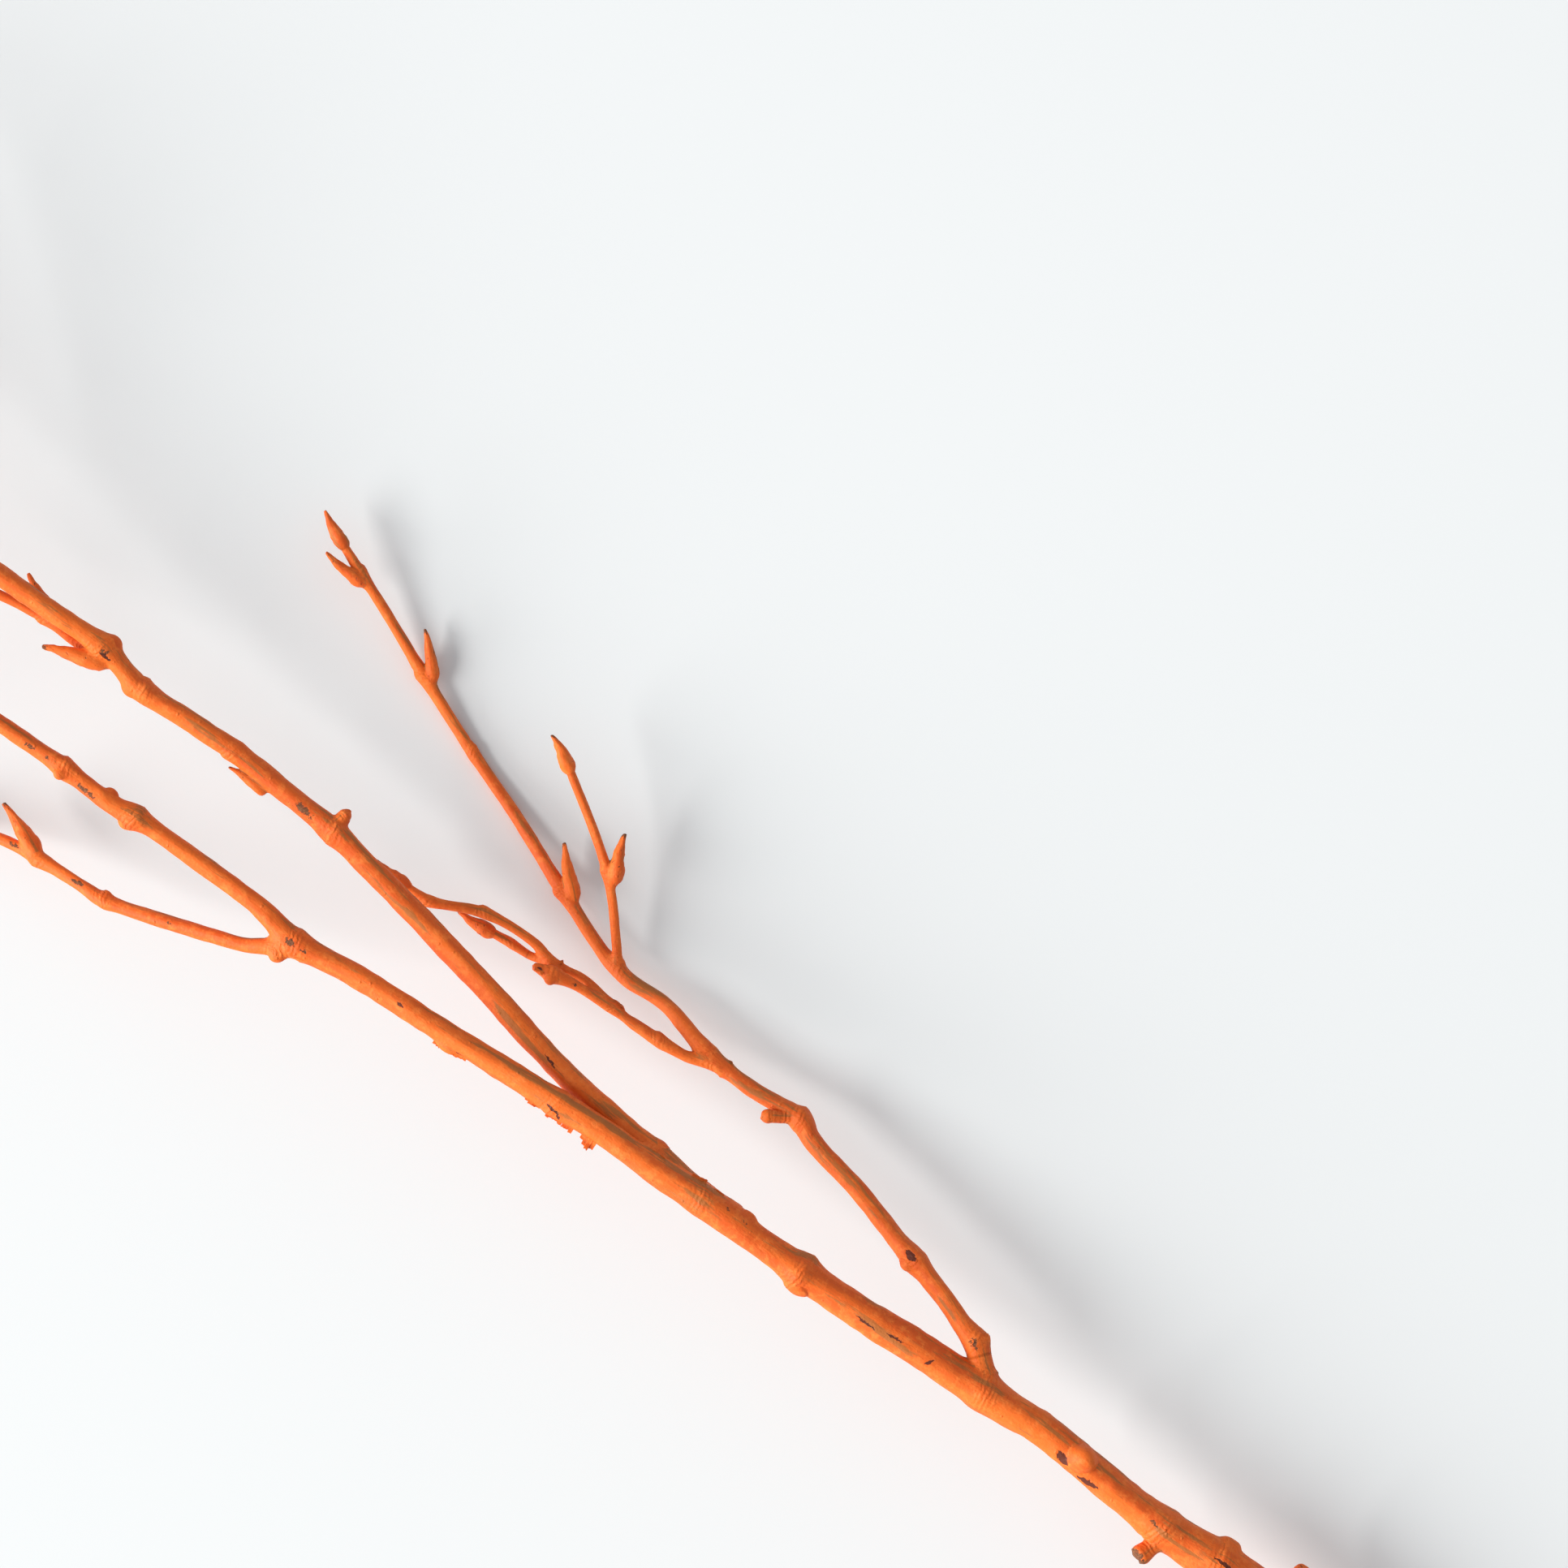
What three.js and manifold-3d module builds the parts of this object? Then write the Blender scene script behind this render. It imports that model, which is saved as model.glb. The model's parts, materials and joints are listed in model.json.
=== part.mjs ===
// Birch branch: one cut branch that lies on a flat surface, grown as one piece, so it is one solid.
// Millimetres, +Z up, origin on the surface under the middle of the branch, +X from the cut end to the tips.
import * as THREE from 'three';
import { mergeVertices } from 'three/addons/utils/BufferGeometryUtils.js';
import Module from 'manifold-3d';

// Placing. Routes are drawn in plan: x to the right, y up the sheet, z above the surface.
const PLAN_TURN = THREE.MathUtils.degToRad(-145.1);
const PLAN_MIDDLE = new THREE.Vector3(-36.1, -36.2, 0);

const GROUND_SPAN = 900;
const GROUND_DEPTH = 40;
const CORNER_NEARNESS = 1e-3;

// Fineness
const STEM_SIDES = 9;
const BRANCH_SIDES = 7;
const TWIG_SIDES = 5;
const BUD_SIDES = 5;
const STEM_STEP = 9;
const BRANCH_STEP = 8;
const TWIG_STEP = 8;

// Growth
const NODE_REACH = 2.2;
const RING_NEAR_NODE = 2.4;
const RING_LEAST_GAP = 1.2;
const COLLAR_FLARE = 0.35;
const COLLAR_REACH = 3.2;
const TWIG_SHARE = 0.55;
const TWIG_TIP_RADIUS = 0.7;
const TWIG_SEGMENT = 21;
const TWIG_BEND = 7;
const TWIG_ANGLE = 40;
const BUD_LENGTH = 6.3;
const BUD_RADIUS = 1.4;
const BUD_LEAN = 17;
const BUD_SINK = 0.3;
const SMALL_KNOB = 3.5;
const SURFACE_WAVE = 0.035;
const CUT_SLOPE = 0.4;

const BUD_PROFILE = [[0, -0.12], [0.78, 0.04], [1, 0.32], [0.66, 0.7], [0, 1]];

// A limb's route runs from its root to its tip: [x, y, z, radius, swelling of a node there].
const LIMBS = [
  {
    name: 'stem', sides: STEM_SIDES, step: STEM_STEP, cut: true, tipBud: true,
    route: [
      [177.8, -206.1, 4.9, 4.4, 0], [158, -190.5, 3.9, 4.35, 0], [136.8, -174.5, 4.9, 4.2, 0.5],
      [115.5, -157.8, 6.4, 4.1, 0], [96.8, -143.3, 8.2, 3.9, 0.6], [80.5, -130.8, 9.9, 3.75, 0],
      [67.1, -120.8, 11.4, 3.5, 0.3], [58.5, -115, 12.4, 3, 0.4], [48.5, -107, 13.6, 2.6, 0],
      [39.6, -99.5, 14.7, 2.65, 0], [31, -94.1, 15.5, 2.8, 0.4], [19.1, -86.1, 16.8, 2.75, 0],
      [11.1, -81, 17.7, 2.55, 0], [2.4, -75, 18.6, 2.45, 0.65], [-4.8, -69.8, 19.3, 2.25, 0],
      [-12.8, -63.8, 20, 2.35, 0.2], [-19, -59.9, 20.4, 2.25, 0], [-26.9, -54.1, 20.9, 2.1, 0],
      [-34.9, -48.9, 21.2, 2.05, 0.15], [-50.9, -38.8, 21.6, 1.85, 0], [-65, -29.8, 21.4, 1.8, 0],
      [-74.9, -24.4, 21, 1.75, 0.35], [-80.9, -18.6, 21.2, 1.55, 0], [-90.5, -11.4, 21.8, 1.4, 0],
      [-99.6, -5, 22.6, 1.4, 0.55], [-103.3, -3, 22.8, 1.4, 0], [-110.3, 2.5, 23, 1.35, 0.35],
      [-120.8, 9.8, 24.2, 1.3, 0], [-130, 16.2, 25, 1.25, 0.35], [-143.3, 24.5, 26.2, 1.2, 0],
      [-158.3, 37.6, 28.5, 1.15, 0.35], [-174.5, 47, 29.5, 1.05, 0.3], [-190.8, 60.8, 31.5, 1, 0.3],
      [-208.3, 70.8, 32, 0.92, 0.28], [-224.5, 84.5, 33.5, 0.85, 0.26], [-240.8, 93.9, 33.5, 0.8, 0.24],
      [-253.3, 107, 34.5, 0.75, 0.2], [-259.5, 115, 35, 0.7, 0],
    ],
  },
  {
    name: 'long_branch', sides: BRANCH_SIDES, step: BRANCH_STEP, tipBud: true,
    route: [
      [-8, -67, 18.9, 1.8, 0], [-13.9, -62.4, 18.3, 2, 0], [-20, -57, 18.2, 2, 0.2],
      [-27.3, -50.6, 18, 1.95, 0], [-32.4, -46.1, 17.6, 1.9, 0], [-38.3, -40, 17, 1.9, 0],
      [-45.1, -32.4, 16.6, 1.9, 0], [-51.8, -25.3, 16.4, 1.9, 0], [-59.5, -17.4, 16.6, 1.85, 0],
      [-64.3, -12.5, 17, 1.8, 0], [-69.4, -7.2, 17.4, 1.75, 0.45], [-78.4, 0, 18, 1.7, 0],
      [-84.8, 5.2, 18.8, 1.65, 0.15], [-91.8, 10, 19.8, 1.6, 0], [-98.5, 14.4, 20.8, 1.55, 0.3],
      [-104.6, 21, 22.2, 1.6, 0.5], [-113.5, 27.4, 23.6, 1.6, 0], [-120.8, 32.6, 25, 1.6, 0],
      [-132, 40.8, 27, 1.55, 0.4], [-145.8, 52.6, 30, 1.45, 0], [-158.3, 60.8, 32.5, 1.4, 0.35],
      [-173.3, 74.5, 36, 1.25, 0.35], [-185.8, 83.3, 38.5, 1.15, 0.3], [-200.8, 98.3, 42, 1.05, 0.3],
      [-212, 107, 44, 0.95, 0.28], [-224.5, 120.8, 47, 0.8, 0.25], [-230.5, 129.5, 48.6, 0.72, 0],
    ],
  },
  {
    name: 'inner_branch', sides: BRANCH_SIDES, step: BRANCH_STEP, tipBud: true,
    route: [
      [32, -95, 15.6, 1.7, 0], [30.3, -88.6, 15.4, 1.6, 0], [29.5, -86.2, 15.2, 1.6, 0.45],
      [27.5, -83.4, 14.8, 1.55, 0], [25.1, -79.8, 14.2, 1.5, 0], [20.1, -73.5, 13.2, 1.5, 0.45],
      [17.4, -70.4, 12.6, 1.5, 0], [11, -62.5, 11.2, 1.5, 0], [4.6, -55.6, 9.9, 1.45, 0],
      [2.4, -52, 9.4, 1.45, 0.4], [-5.1, -47.4, 8.4, 1.35, 0], [-12, -41.8, 7.2, 1.3, 0.35],
      [-18.3, -34.5, 5.8, 1.2, 0], [-25.8, -29.3, 4.6, 1.15, 0.3], [-34.5, -16.8, 2.9, 1.05, 0.3],
      [-40.8, -6.8, 1.5, 1, 0], [-48.9, 5.1, 0.82, 0.95, 0.1], [-56.4, 17, 1.9, 0.9, 0.25],
      [-60.8, 24.5, 3.2, 0.85, 0], [-66, 33, 4.9, 0.78, 0.2], [-69.5, 38.6, 6.1, 0.72, 0],
    ],
  },
  {
    name: 'outer_twig', sides: TWIG_SIDES, step: TWIG_STEP, tipBud: true,
    route: [
      [-73.5, -25.6, 21, 1.3, 0], [-77.6, -24.9, 20.6, 1.3, 0.4], [-82.5, -24.8, 19.4, 1.15, 0],
      [-87.6, -23.5, 18, 1.15, 0], [-92.9, -22, 16.4, 1.15, 0], [-97, -20.8, 15.2, 1.15, 0],
      [-100.9, -19.6, 14, 1.1, 0], [-105.3, -18, 12.6, 1.05, 0.25], [-109.6, -15.3, 11.2, 0.98, 0],
      [-115.8, -11.6, 9.2, 0.95, 0.35], [-120.8, -9, 7.6, 0.9, 0], [-130.8, -5.5, 4.6, 0.85, 0.25],
      [-142, 0.8, 1.6, 0.82, 0], [-150, 4, 0.66, 0.8, 0.1], [-158, 9.5, 1.5, 0.76, 0.2],
      [-168, 14, 4, 0.7, 0],
    ],
  },
  {
    name: 'broken_twig', sides: TWIG_SIDES, step: TWIG_STEP,
    route: [
      [-8.5, -44.6, 7.6, 1, 0], [-14.5, -42.6, 8, 0.95, 0], [-19.5, -39.8, 8.6, 0.92, 0.2],
      [-26.9, -34.8, 9.6, 0.9, 0.3], [-31.9, -31.4, 10.4, 0.9, 0], [-36, -29.4, 11, 0.95, 0.45],
      [-38.8, -28.2, 11.2, 0.6, 0],
    ],
  },
  {
    name: 'crossing_twig', sides: TWIG_SIDES, step: TWIG_STEP, tipBud: true,
    route: [
      [-25.8, -35.4, 9.4, 0.85, 0], [-30.4, -31, 8.6, 0.85, 0], [-36.3, -27.3, 9, 0.85, 0.2],
      [-39, -24.6, 9.4, 0.82, 0], [-46.5, -20, 10.2, 0.78, 0.2], [-55.4, -18, 10.9, 0.74, 0.25],
      [-59.9, -14.9, 11.1, 0.7, 0],
    ],
  },
  {
    name: 'short_twig', sides: TWIG_SIDES, step: TWIG_STEP, tipBud: true,
    route: [
      [-34.6, -28.4, 8.9, 0.75, 0], [-39, -26.9, 8.3, 0.72, 0], [-42.6, -24.6, 8.2, 0.7, 0.2],
      [-47, -22.3, 8.3, 0.68, 0],
    ],
  },
  {
    name: 'cluster_twig', sides: TWIG_SIDES, step: TWIG_STEP, tipBud: true,
    route: [
      [-104.5, 20, 21.6, 0.85, 0], [-108.5, 21.6, 20.6, 0.8, 0], [-113.5, 25.4, 20.4, 0.75, 0.25],
      [-120.8, 29.2, 20.8, 0.74, 0], [-130, 33, 21.6, 0.72, 0.2], [-139, 38.5, 22.6, 0.7, 0],
    ],
  },
];

// Twigs that grow by rule beyond what was measured: [limb, plan place near its root, side, length, rise].
// Side 1 is to the right of the limb as it grows, -1 to the left.
const RULED_TWIGS = [
  ['stem', [-130, 16.2], -1, 62, 6], ['stem', [-158.3, 37.6], 1, 74, 4], ['stem', [-190.8, 60.8], -1, 48, 5],
  ['stem', [-208.3, 70.8], 1, 34, 5], ['long_branch', [-132, 40.8], 1, 78, 4],
  ['long_branch', [-158.3, 60.8], -1, 58, -2], ['long_branch', [-185.8, 83.3], 1, 44, 3],
  ['inner_branch', [-25.8, -29.3], 1, 34, 8],
];

// Buds at measured places: [limb, plan place, angle round the limb from the top (right is positive),
// length, radius, lean away from the limb, in degrees].
const PLACED_BUDS = [
  ['outer_twig', [-116.9, -11], 78, 8.6, 1.65, 32],
  ['long_branch', [-104.6, 21], -85, 7.6, 1.55, 26],
  ['long_branch', [-80.3, 1.3], -88, 5.2, 0.95, 2],
  ['stem', [-130, 16.2], 95, 7.2, 1.45, 30],
  ['outer_twig', [-130.8, -5.5], -80, 6.8, 1.35, 32],
];

// Knobs, lumps and leaf scars: [limb, plan place, angle round the limb, length, width, height above the bark].
const KNOBS = [
  ['stem', [45.7, -104.2], 9, 5.8, 4.4, 2], ['stem', [-109.5, 1.6], -80, 2.6, 2.2, 0.7],
  ['stem', [-103.9, -2.4], 92, 3.2, 2.2, 0.5], ['stem', [-100.6, -5.6], -95, 3.4, 2.4, 0.5],
  ['stem', [-6.8, -68.4], 92, 4.2, 2.6, 0.7], ['stem', [-50.5, -39.2], -92, 5.2, 3, 0.8],
  ['stem', [3.5, -75.6], -70, 4.6, 3.4, 0.5], ['stem', [96.8, -143.3], -60, 6, 5, 1],
  ['stem', [136.8, -174.5], 60, 6.5, 5.5, 1.1], ['stem', [67.1, -120.8], 85, 5, 4, 0.9],
  ['long_branch', [-99.5, 15], -92, 3.6, 2.4, 0.6], ['long_branch', [-104, 20.4], 88, 4, 2.8, 0.9],
  ['long_branch', [-20, -57], 70, 3.4, 2.8, 0.4], ['inner_branch', [20.1, -73.5], -60, 2.8, 2.4, 0.6],
  ['inner_branch', [29.5, -86.2], 70, 2.8, 2.4, 0.5], ['outer_twig', [-77.6, -24.9], -70, 3.2, 2.6, 0.9],
  ['outer_twig', [-105.3, -18], 80, 2, 1.6, 0.4], ['broken_twig', [-36, -29.4], -50, 2.4, 2.2, 0.8],
];

// Short spurs and broken stubs: [limb, plan place, angle round the limb, length, radius, lean, end knob radius].
const SPURS = [
  ['stem', [59.6, -115.9], -78, 3.4, 1.6, 68, 0], ['inner_branch', [2.4, -52], -60, 3.2, 1.1, 45, 1.25],
  ['long_branch', [-69.4, -7.2], 84, 0.7, 1, 84, 1.05], ['stem', [115.5, -157.8], -70, 9, 1.9, 55, 0],
  ['stem', [150, -184.4], 65, 6, 1.7, 60, 0], ['stem', [80.5, -130.8], 74, 5, 1.3, 50, 1.5],
];

const wasm = await Module();
wasm.setup();

// A repeatable draw from 0 to 1 for the whole number n.
function draw(n) {
  const wave = Math.sin(n * 12.9898 + 4.1414) * 43758.5453;
  return wave - Math.floor(wave);
}

// The limb's centre line with its radius: evenly parted samples from root to tip.
function traceLimb(limb) {
  const curve = new THREE.CatmullRomCurve3(
    limb.route.map(([x, y, z]) => new THREE.Vector3(x, y, z)), false, 'centripetal',
  );
  const spans = limb.route.length - 1;
  const fine = 12;
  const raw = [];
  for (let i = 0; i <= spans * fine; i++) {
    const at = i / fine;
    const low = Math.min(Math.floor(at), spans - 1);
    const share = at - low;
    raw.push({
      point: curve.getPoint(at / spans),
      radius: THREE.MathUtils.lerp(limb.route[low][3], limb.route[low + 1][3], share),
    });
  }
  raw[0].along = 0;
  for (let i = 1; i < raw.length; i++) {
    raw[i].along = raw[i - 1].along + raw[i].point.distanceTo(raw[i - 1].point);
  }
  limb.length = raw[raw.length - 1].along;
  limb.raw = raw;
  limb.nodes = limb.route
    .map((row, i) => ({ along: raw[i * fine].along, swell: row[4] }))
    .filter((node) => node.swell > 0);
}

// Centre, radius and axes of a limb at a distance from its root.
function stationAt(limb, along) {
  const raw = limb.raw;
  let i = 1;
  while (i < raw.length - 1 && raw[i].along < along) i++;
  const share = THREE.MathUtils.clamp((along - raw[i - 1].along) / (raw[i].along - raw[i - 1].along), 0, 1);
  const point = raw[i - 1].point.clone().lerp(raw[i].point, share);
  const back = raw[Math.max(i - 3, 0)].point;
  const ahead = raw[Math.min(i + 2, raw.length - 1)].point;
  const forward = ahead.clone().sub(back).normalize();
  const right = forward.clone().cross(new THREE.Vector3(0, 0, 1)).normalize();
  const up = right.clone().cross(forward);
  return { point, forward, right, up, radius: radiusAt(limb, along, i, share) };
}

// The limb's radius with the swelling of its nodes and the collar at its root.
function radiusAt(limb, along, i, share) {
  let radius = THREE.MathUtils.lerp(limb.raw[i - 1].radius, limb.raw[i].radius, share);
  if (!limb.cut) radius *= 1 + COLLAR_FLARE * Math.exp(-((along / COLLAR_REACH) ** 2));
  for (const node of limb.nodes) {
    radius += node.swell * Math.exp(-(((along - node.along) / NODE_REACH) ** 2));
  }
  return radius;
}

// The distance from the root of the place on the limb nearest to a place in plan.
function distanceOf(limb, [x, y]) {
  let best = limb.raw[0];
  for (const sample of limb.raw) {
    const gap = Math.hypot(sample.point.x - x, sample.point.y - y);
    if (gap < Math.hypot(best.point.x - x, best.point.y - y)) best = sample;
  }
  return best.along;
}

// Rings along a limb: a ring at each node, on thicker limbs one at each foot of its swelling too,
// and even steps between.
function ringPlaces(limb) {
  const marks = [0, limb.length, ...limb.nodes.map((node) => node.along)];
  if (limb.sides > TWIG_SIDES) {
    for (const node of limb.nodes) marks.push(node.along - RING_NEAR_NODE, node.along + RING_NEAR_NODE);
  }
  const fixed = marks.filter((at) => at >= 0 && at <= limb.length).sort((a, b) => a - b);
  const places = [0];
  for (let i = 1; i < fixed.length; i++) {
    const gap = fixed[i] - fixed[i - 1];
    const parts = Math.max(1, Math.round(gap / limb.step));
    if (gap < RING_LEAST_GAP && i < fixed.length - 1) continue;
    const from = places[places.length - 1];
    for (let k = 1; k <= parts; k++) places.push(from + ((fixed[i] - from) * k) / parts);
  }
  return places;
}

// A closed surface from rings of points, each ring with the same count, closed by a fan at each end.
function closedRings(rings, startPoint, endPoint) {
  const sides = rings[0].length;
  const points = [startPoint, ...rings.flat(), endPoint];
  const last = points.length - 1;
  const index = [];
  for (let k = 0; k < sides; k++) {
    const next = (k + 1) % sides;
    index.push(0, 1 + next, 1 + k);
    index.push(last, last - sides + k, last - sides + next);
    for (let r = 0; r < rings.length - 1; r++) {
      const a = 1 + r * sides + k;
      const b = 1 + r * sides + next;
      index.push(a, b, b + sides);
      index.push(a, b + sides, a + sides);
    }
  }
  const geometry = new THREE.BufferGeometry().setFromPoints(points);
  geometry.setIndex(index);
  return geometry;
}

function limbGeometry(limb, number) {
  const rings = ringPlaces(limb).map((along, ring) => {
    const { point, forward, right, up, radius } = stationAt(limb, along);
    const slope = limb.cut && ring === 0 ? CUT_SLOPE : 0;
    const corners = [];
    for (let k = 0; k < limb.sides; k++) {
      const angle = ((k + 0.5 * (ring % 2)) / limb.sides) * 2 * Math.PI;
      const wave = 1 + SURFACE_WAVE * Math.sin(3 * angle + 0.21 * along + number);
      corners.push(
        point.clone()
          .addScaledVector(up, Math.cos(angle) * radius * wave)
          .addScaledVector(right, Math.sin(angle) * radius * wave)
          .addScaledVector(forward, Math.cos(angle) * radius * wave * slope),
      );
    }
    return corners;
  });
  const root = stationAt(limb, 0);
  const tip = stationAt(limb, limb.length);
  return closedRings(rings, root.point, tip.point.clone().addScaledVector(tip.forward, tip.radius * 0.6));
}

// A solid from a geometry: only its positions, with shared corners merged.
function solidFrom(geometry, nearness = 1e-4) {
  const bare = geometry.clone();
  bare.deleteAttribute('normal');
  bare.deleteAttribute('uv');
  const merged = mergeVertices(bare, nearness);
  return new wasm.Manifold(
    new wasm.Mesh({
      numProp: 3,
      vertProperties: new Float32Array(merged.attributes.position.array),
      triVerts: new Uint32Array(merged.index.array),
    }),
  );
}

// The point on the bark and the outward and forward directions at an angle round the limb.
function barkPlace(limb, along, degrees) {
  const station = stationAt(limb, along);
  const angle = THREE.MathUtils.degToRad(degrees);
  const outward = station.up.clone().multiplyScalar(Math.cos(angle))
    .addScaledVector(station.right, Math.sin(angle));
  return { ...station, outward, bark: station.point.clone().addScaledVector(outward, station.radius) };
}

// Leans from the limb's own direction outwards by an angle.
function leaning(forward, outward, degrees) {
  const lean = THREE.MathUtils.degToRad(degrees);
  return forward.clone().multiplyScalar(Math.cos(lean)).addScaledVector(outward, Math.sin(lean)).normalize();
}

// A geometry made along +Y, turned to a direction and moved to a place.
function alongDirection(geometry, place, direction) {
  const turn = new THREE.Quaternion().setFromUnitVectors(new THREE.Vector3(0, 1, 0), direction);
  return geometry.applyQuaternion(turn).translate(place.x, place.y, place.z);
}

function budGeometry(place, direction, length, radius) {
  const profile = BUD_PROFILE.map(([r, h]) => new THREE.Vector2(r * radius, h * length));
  return alongDirection(new THREE.LatheGeometry(profile, BUD_SIDES), place, direction);
}

function budOnBark(limb, along, degrees, length, radius, lean) {
  const { bark, outward, forward } = barkPlace(limb, along, degrees);
  const direction = leaning(forward, outward, lean);
  const root = bark.clone()
    .addScaledVector(direction, -BUD_SINK * length)
    .addScaledVector(outward, radius * 0.25);
  return budGeometry(root, direction, length * (1 + BUD_SINK), radius);
}

// A lump on the bark, with fewer faces where it is small.
function knobGeometry(limb, along, degrees, length, width, height) {
  const detail = length < SMALL_KNOB ? 0 : 1;
  const { bark, outward, forward } = barkPlace(limb, along, degrees);
  const across = outward.clone().cross(forward);
  const knob = new THREE.IcosahedronGeometry(1, detail).scale(width / 2, height * 2, length / 2);
  const axes = new THREE.Matrix4().makeBasis(across, outward, forward);
  const place = bark.clone().addScaledVector(outward, -height);
  return knob.applyMatrix4(axes).translate(place.x, place.y, place.z);
}

function spurGeometries(limb, along, degrees, length, radius, lean, knobRadius) {
  const { point, outward, forward } = barkPlace(limb, along, degrees);
  const direction = leaning(forward, outward, lean);
  const reach = length + stationAt(limb, along).radius;
  const profile = [[0, 0], [1.25, 0], [1.05, 0.45], [0.92, 0.75], [1, 0.93], [0.6, 1], [0, 0.98]]
    .map(([r, h]) => new THREE.Vector2(r * radius, h * reach));
  const made = [alongDirection(new THREE.LatheGeometry(profile, BUD_SIDES), point, direction)];
  if (knobRadius > 0) {
    const end = point.clone().addScaledVector(direction, reach);
    made.push(new THREE.IcosahedronGeometry(knobRadius, 1).translate(end.x, end.y, end.z));
  }
  return made;
}

// A twig that leaves its limb at an angle and bends a little to the other side at each node.
function ruledTwig([parentName, place, side, length, rise], number) {
  const parent = LIMBS.find((limb) => limb.name === parentName);
  const along = distanceOf(parent, place);
  const station = stationAt(parent, along);
  const count = Math.max(2, Math.round(length / TWIG_SEGMENT));
  const heading = Math.atan2(station.forward.y, station.forward.x);
  let turn = heading - side * THREE.MathUtils.degToRad(TWIG_ANGLE);
  const radius = Math.max(station.radius * TWIG_SHARE, TWIG_TIP_RADIUS + 0.1);
  const route = [[station.point.x, station.point.y, station.point.z, radius, 0]];
  for (let i = 1; i <= count; i++) {
    const stride = (length / count) * (0.85 + 0.3 * draw(number * 31 + i));
    const [x, y, z] = route[route.length - 1];
    route.push([
      x + Math.cos(turn) * stride, y + Math.sin(turn) * stride, z + rise / count,
      THREE.MathUtils.lerp(radius, TWIG_TIP_RADIUS, i / count), i < count ? 0.22 : 0,
    ]);
    const wobble = TWIG_BEND * (0.6 + 0.8 * draw(number * 57 + i));
    turn += THREE.MathUtils.degToRad(side * 5 + (i % 2 ? wobble : -wobble));
  }
  return { name: `${parentName}_twig_${number}`, sides: TWIG_SIDES, step: TWIG_STEP, tipBud: true, route };
}

// Buds by rule: one at each node of a thin limb, in turn left and right, with its leaf scar.
function ruledBuds(limb, number, startAt) {
  const made = [];
  limb.nodes.forEach((node, i) => {
    if (node.along < startAt || node.swell < 0.15) return;
    const side = (i + number) % 2 ? 1 : -1;
    const degrees = side * (62 + 30 * draw(number * 13 + i));
    const length = BUD_LENGTH * (0.8 + 0.3 * draw(number * 17 + i));
    made.push(budOnBark(limb, node.along, degrees, length, BUD_RADIUS * (0.82 + 0.2 * draw(number * 19 + i)),
      BUD_LEAN + 14 * draw(number * 23 + i)));
  });
  return made;
}

// How far along each limb the ruled buds start; limbs that aren't listed get them from their root.
const RULED_BUDS_FROM = {
  stem: distanceFrom('stem', [-140, 22]),
  long_branch: distanceFrom('long_branch', [-140, 48]),
  inner_branch: distanceFrom('inner_branch', [-30, -23]),
  outer_twig: distanceFrom('outer_twig', [-152, 6]),
  broken_twig: distanceFrom('broken_twig', [-38.8, -28.2]),
  crossing_twig: distanceFrom('crossing_twig', [-59.9, -14.9]),
  short_twig: distanceFrom('short_twig', [-47, -22.3]),
};

function distanceFrom(name, place) {
  const limb = LIMBS.find((one) => one.name === name);
  traceLimb(limb);
  return distanceOf(limb, place);
}

function branchSolid() {
  LIMBS.forEach(traceLimb);
  const grown = RULED_TWIGS.map((rule, i) => ruledTwig(rule, i + 1));
  grown.forEach(traceLimb);
  const limbs = [...LIMBS, ...grown];
  const named = (name) => limbs.find((limb) => limb.name === name);
  const pieces = [];
  limbs.forEach((limb, number) => {
    pieces.push(limbGeometry(limb, number));
    pieces.push(...ruledBuds(limb, number, RULED_BUDS_FROM[limb.name] ?? 0));
    if (limb.tipBud) {
      const tip = stationAt(limb, limb.length);
      const root = tip.point.clone().addScaledVector(tip.forward, -BUD_SINK * BUD_LENGTH);
      pieces.push(budGeometry(root, tip.forward, BUD_LENGTH, BUD_RADIUS * 0.85));
    }
  });
  for (const [name, place, degrees, length, radius, lean] of PLACED_BUDS) {
    pieces.push(budOnBark(named(name), distanceOf(named(name), place), degrees, length, radius, lean));
  }
  for (const [name, place, ...shape] of KNOBS) {
    pieces.push(knobGeometry(named(name), distanceOf(named(name), place), ...shape));
  }
  for (const [name, place, ...shape] of SPURS) {
    pieces.push(...spurGeometries(named(name), distanceOf(named(name), place), ...shape));
  }
  const joined = pieces.map((piece) => solidFrom(piece)).reduce((all, one) => all.add(one));
  const ground = new THREE.BoxGeometry(GROUND_SPAN, GROUND_SPAN, GROUND_DEPTH).translate(0, 0, -GROUND_DEPTH / 2);
  return joined.subtract(solidFrom(ground));
}

// A solid's surface as a geometry.
function geometryOf(solid) {
  const mesh = solid.getMesh();
  const geometry = new THREE.BufferGeometry();
  geometry.setAttribute('position', new THREE.BufferAttribute(new Float32Array(mesh.vertProperties), 3));
  geometry.setIndex(new THREE.BufferAttribute(new Uint32Array(mesh.triVerts), 1));
  return geometry;
}

// The branch in the part's own frame: corners that nearly meet are merged, pockets that the joins
// sealed are filled, and loose scraps are left out.
function branchGeometry() {
  const laid = geometryOf(branchSolid())
    .translate(-PLAN_MIDDLE.x, -PLAN_MIDDLE.y, -PLAN_MIDDLE.z)
    .rotateZ(PLAN_TURN);
  const bodies = solidFrom(laid, CORNER_NEARNESS).decompose();
  return geometryOf(bodies.reduce((best, body) => (body.volume() > best.volume() ? body : best)));
}

const paintedBark = new THREE.MeshStandardMaterial({ color: 0xe86a26, roughness: 0.62, metalness: 0 });

const branch = new THREE.Mesh(branchGeometry(), paintedBark);
branch.name = 'birch_branch';

const part = new THREE.Group();
part.add(branch);

export default part;
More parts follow.
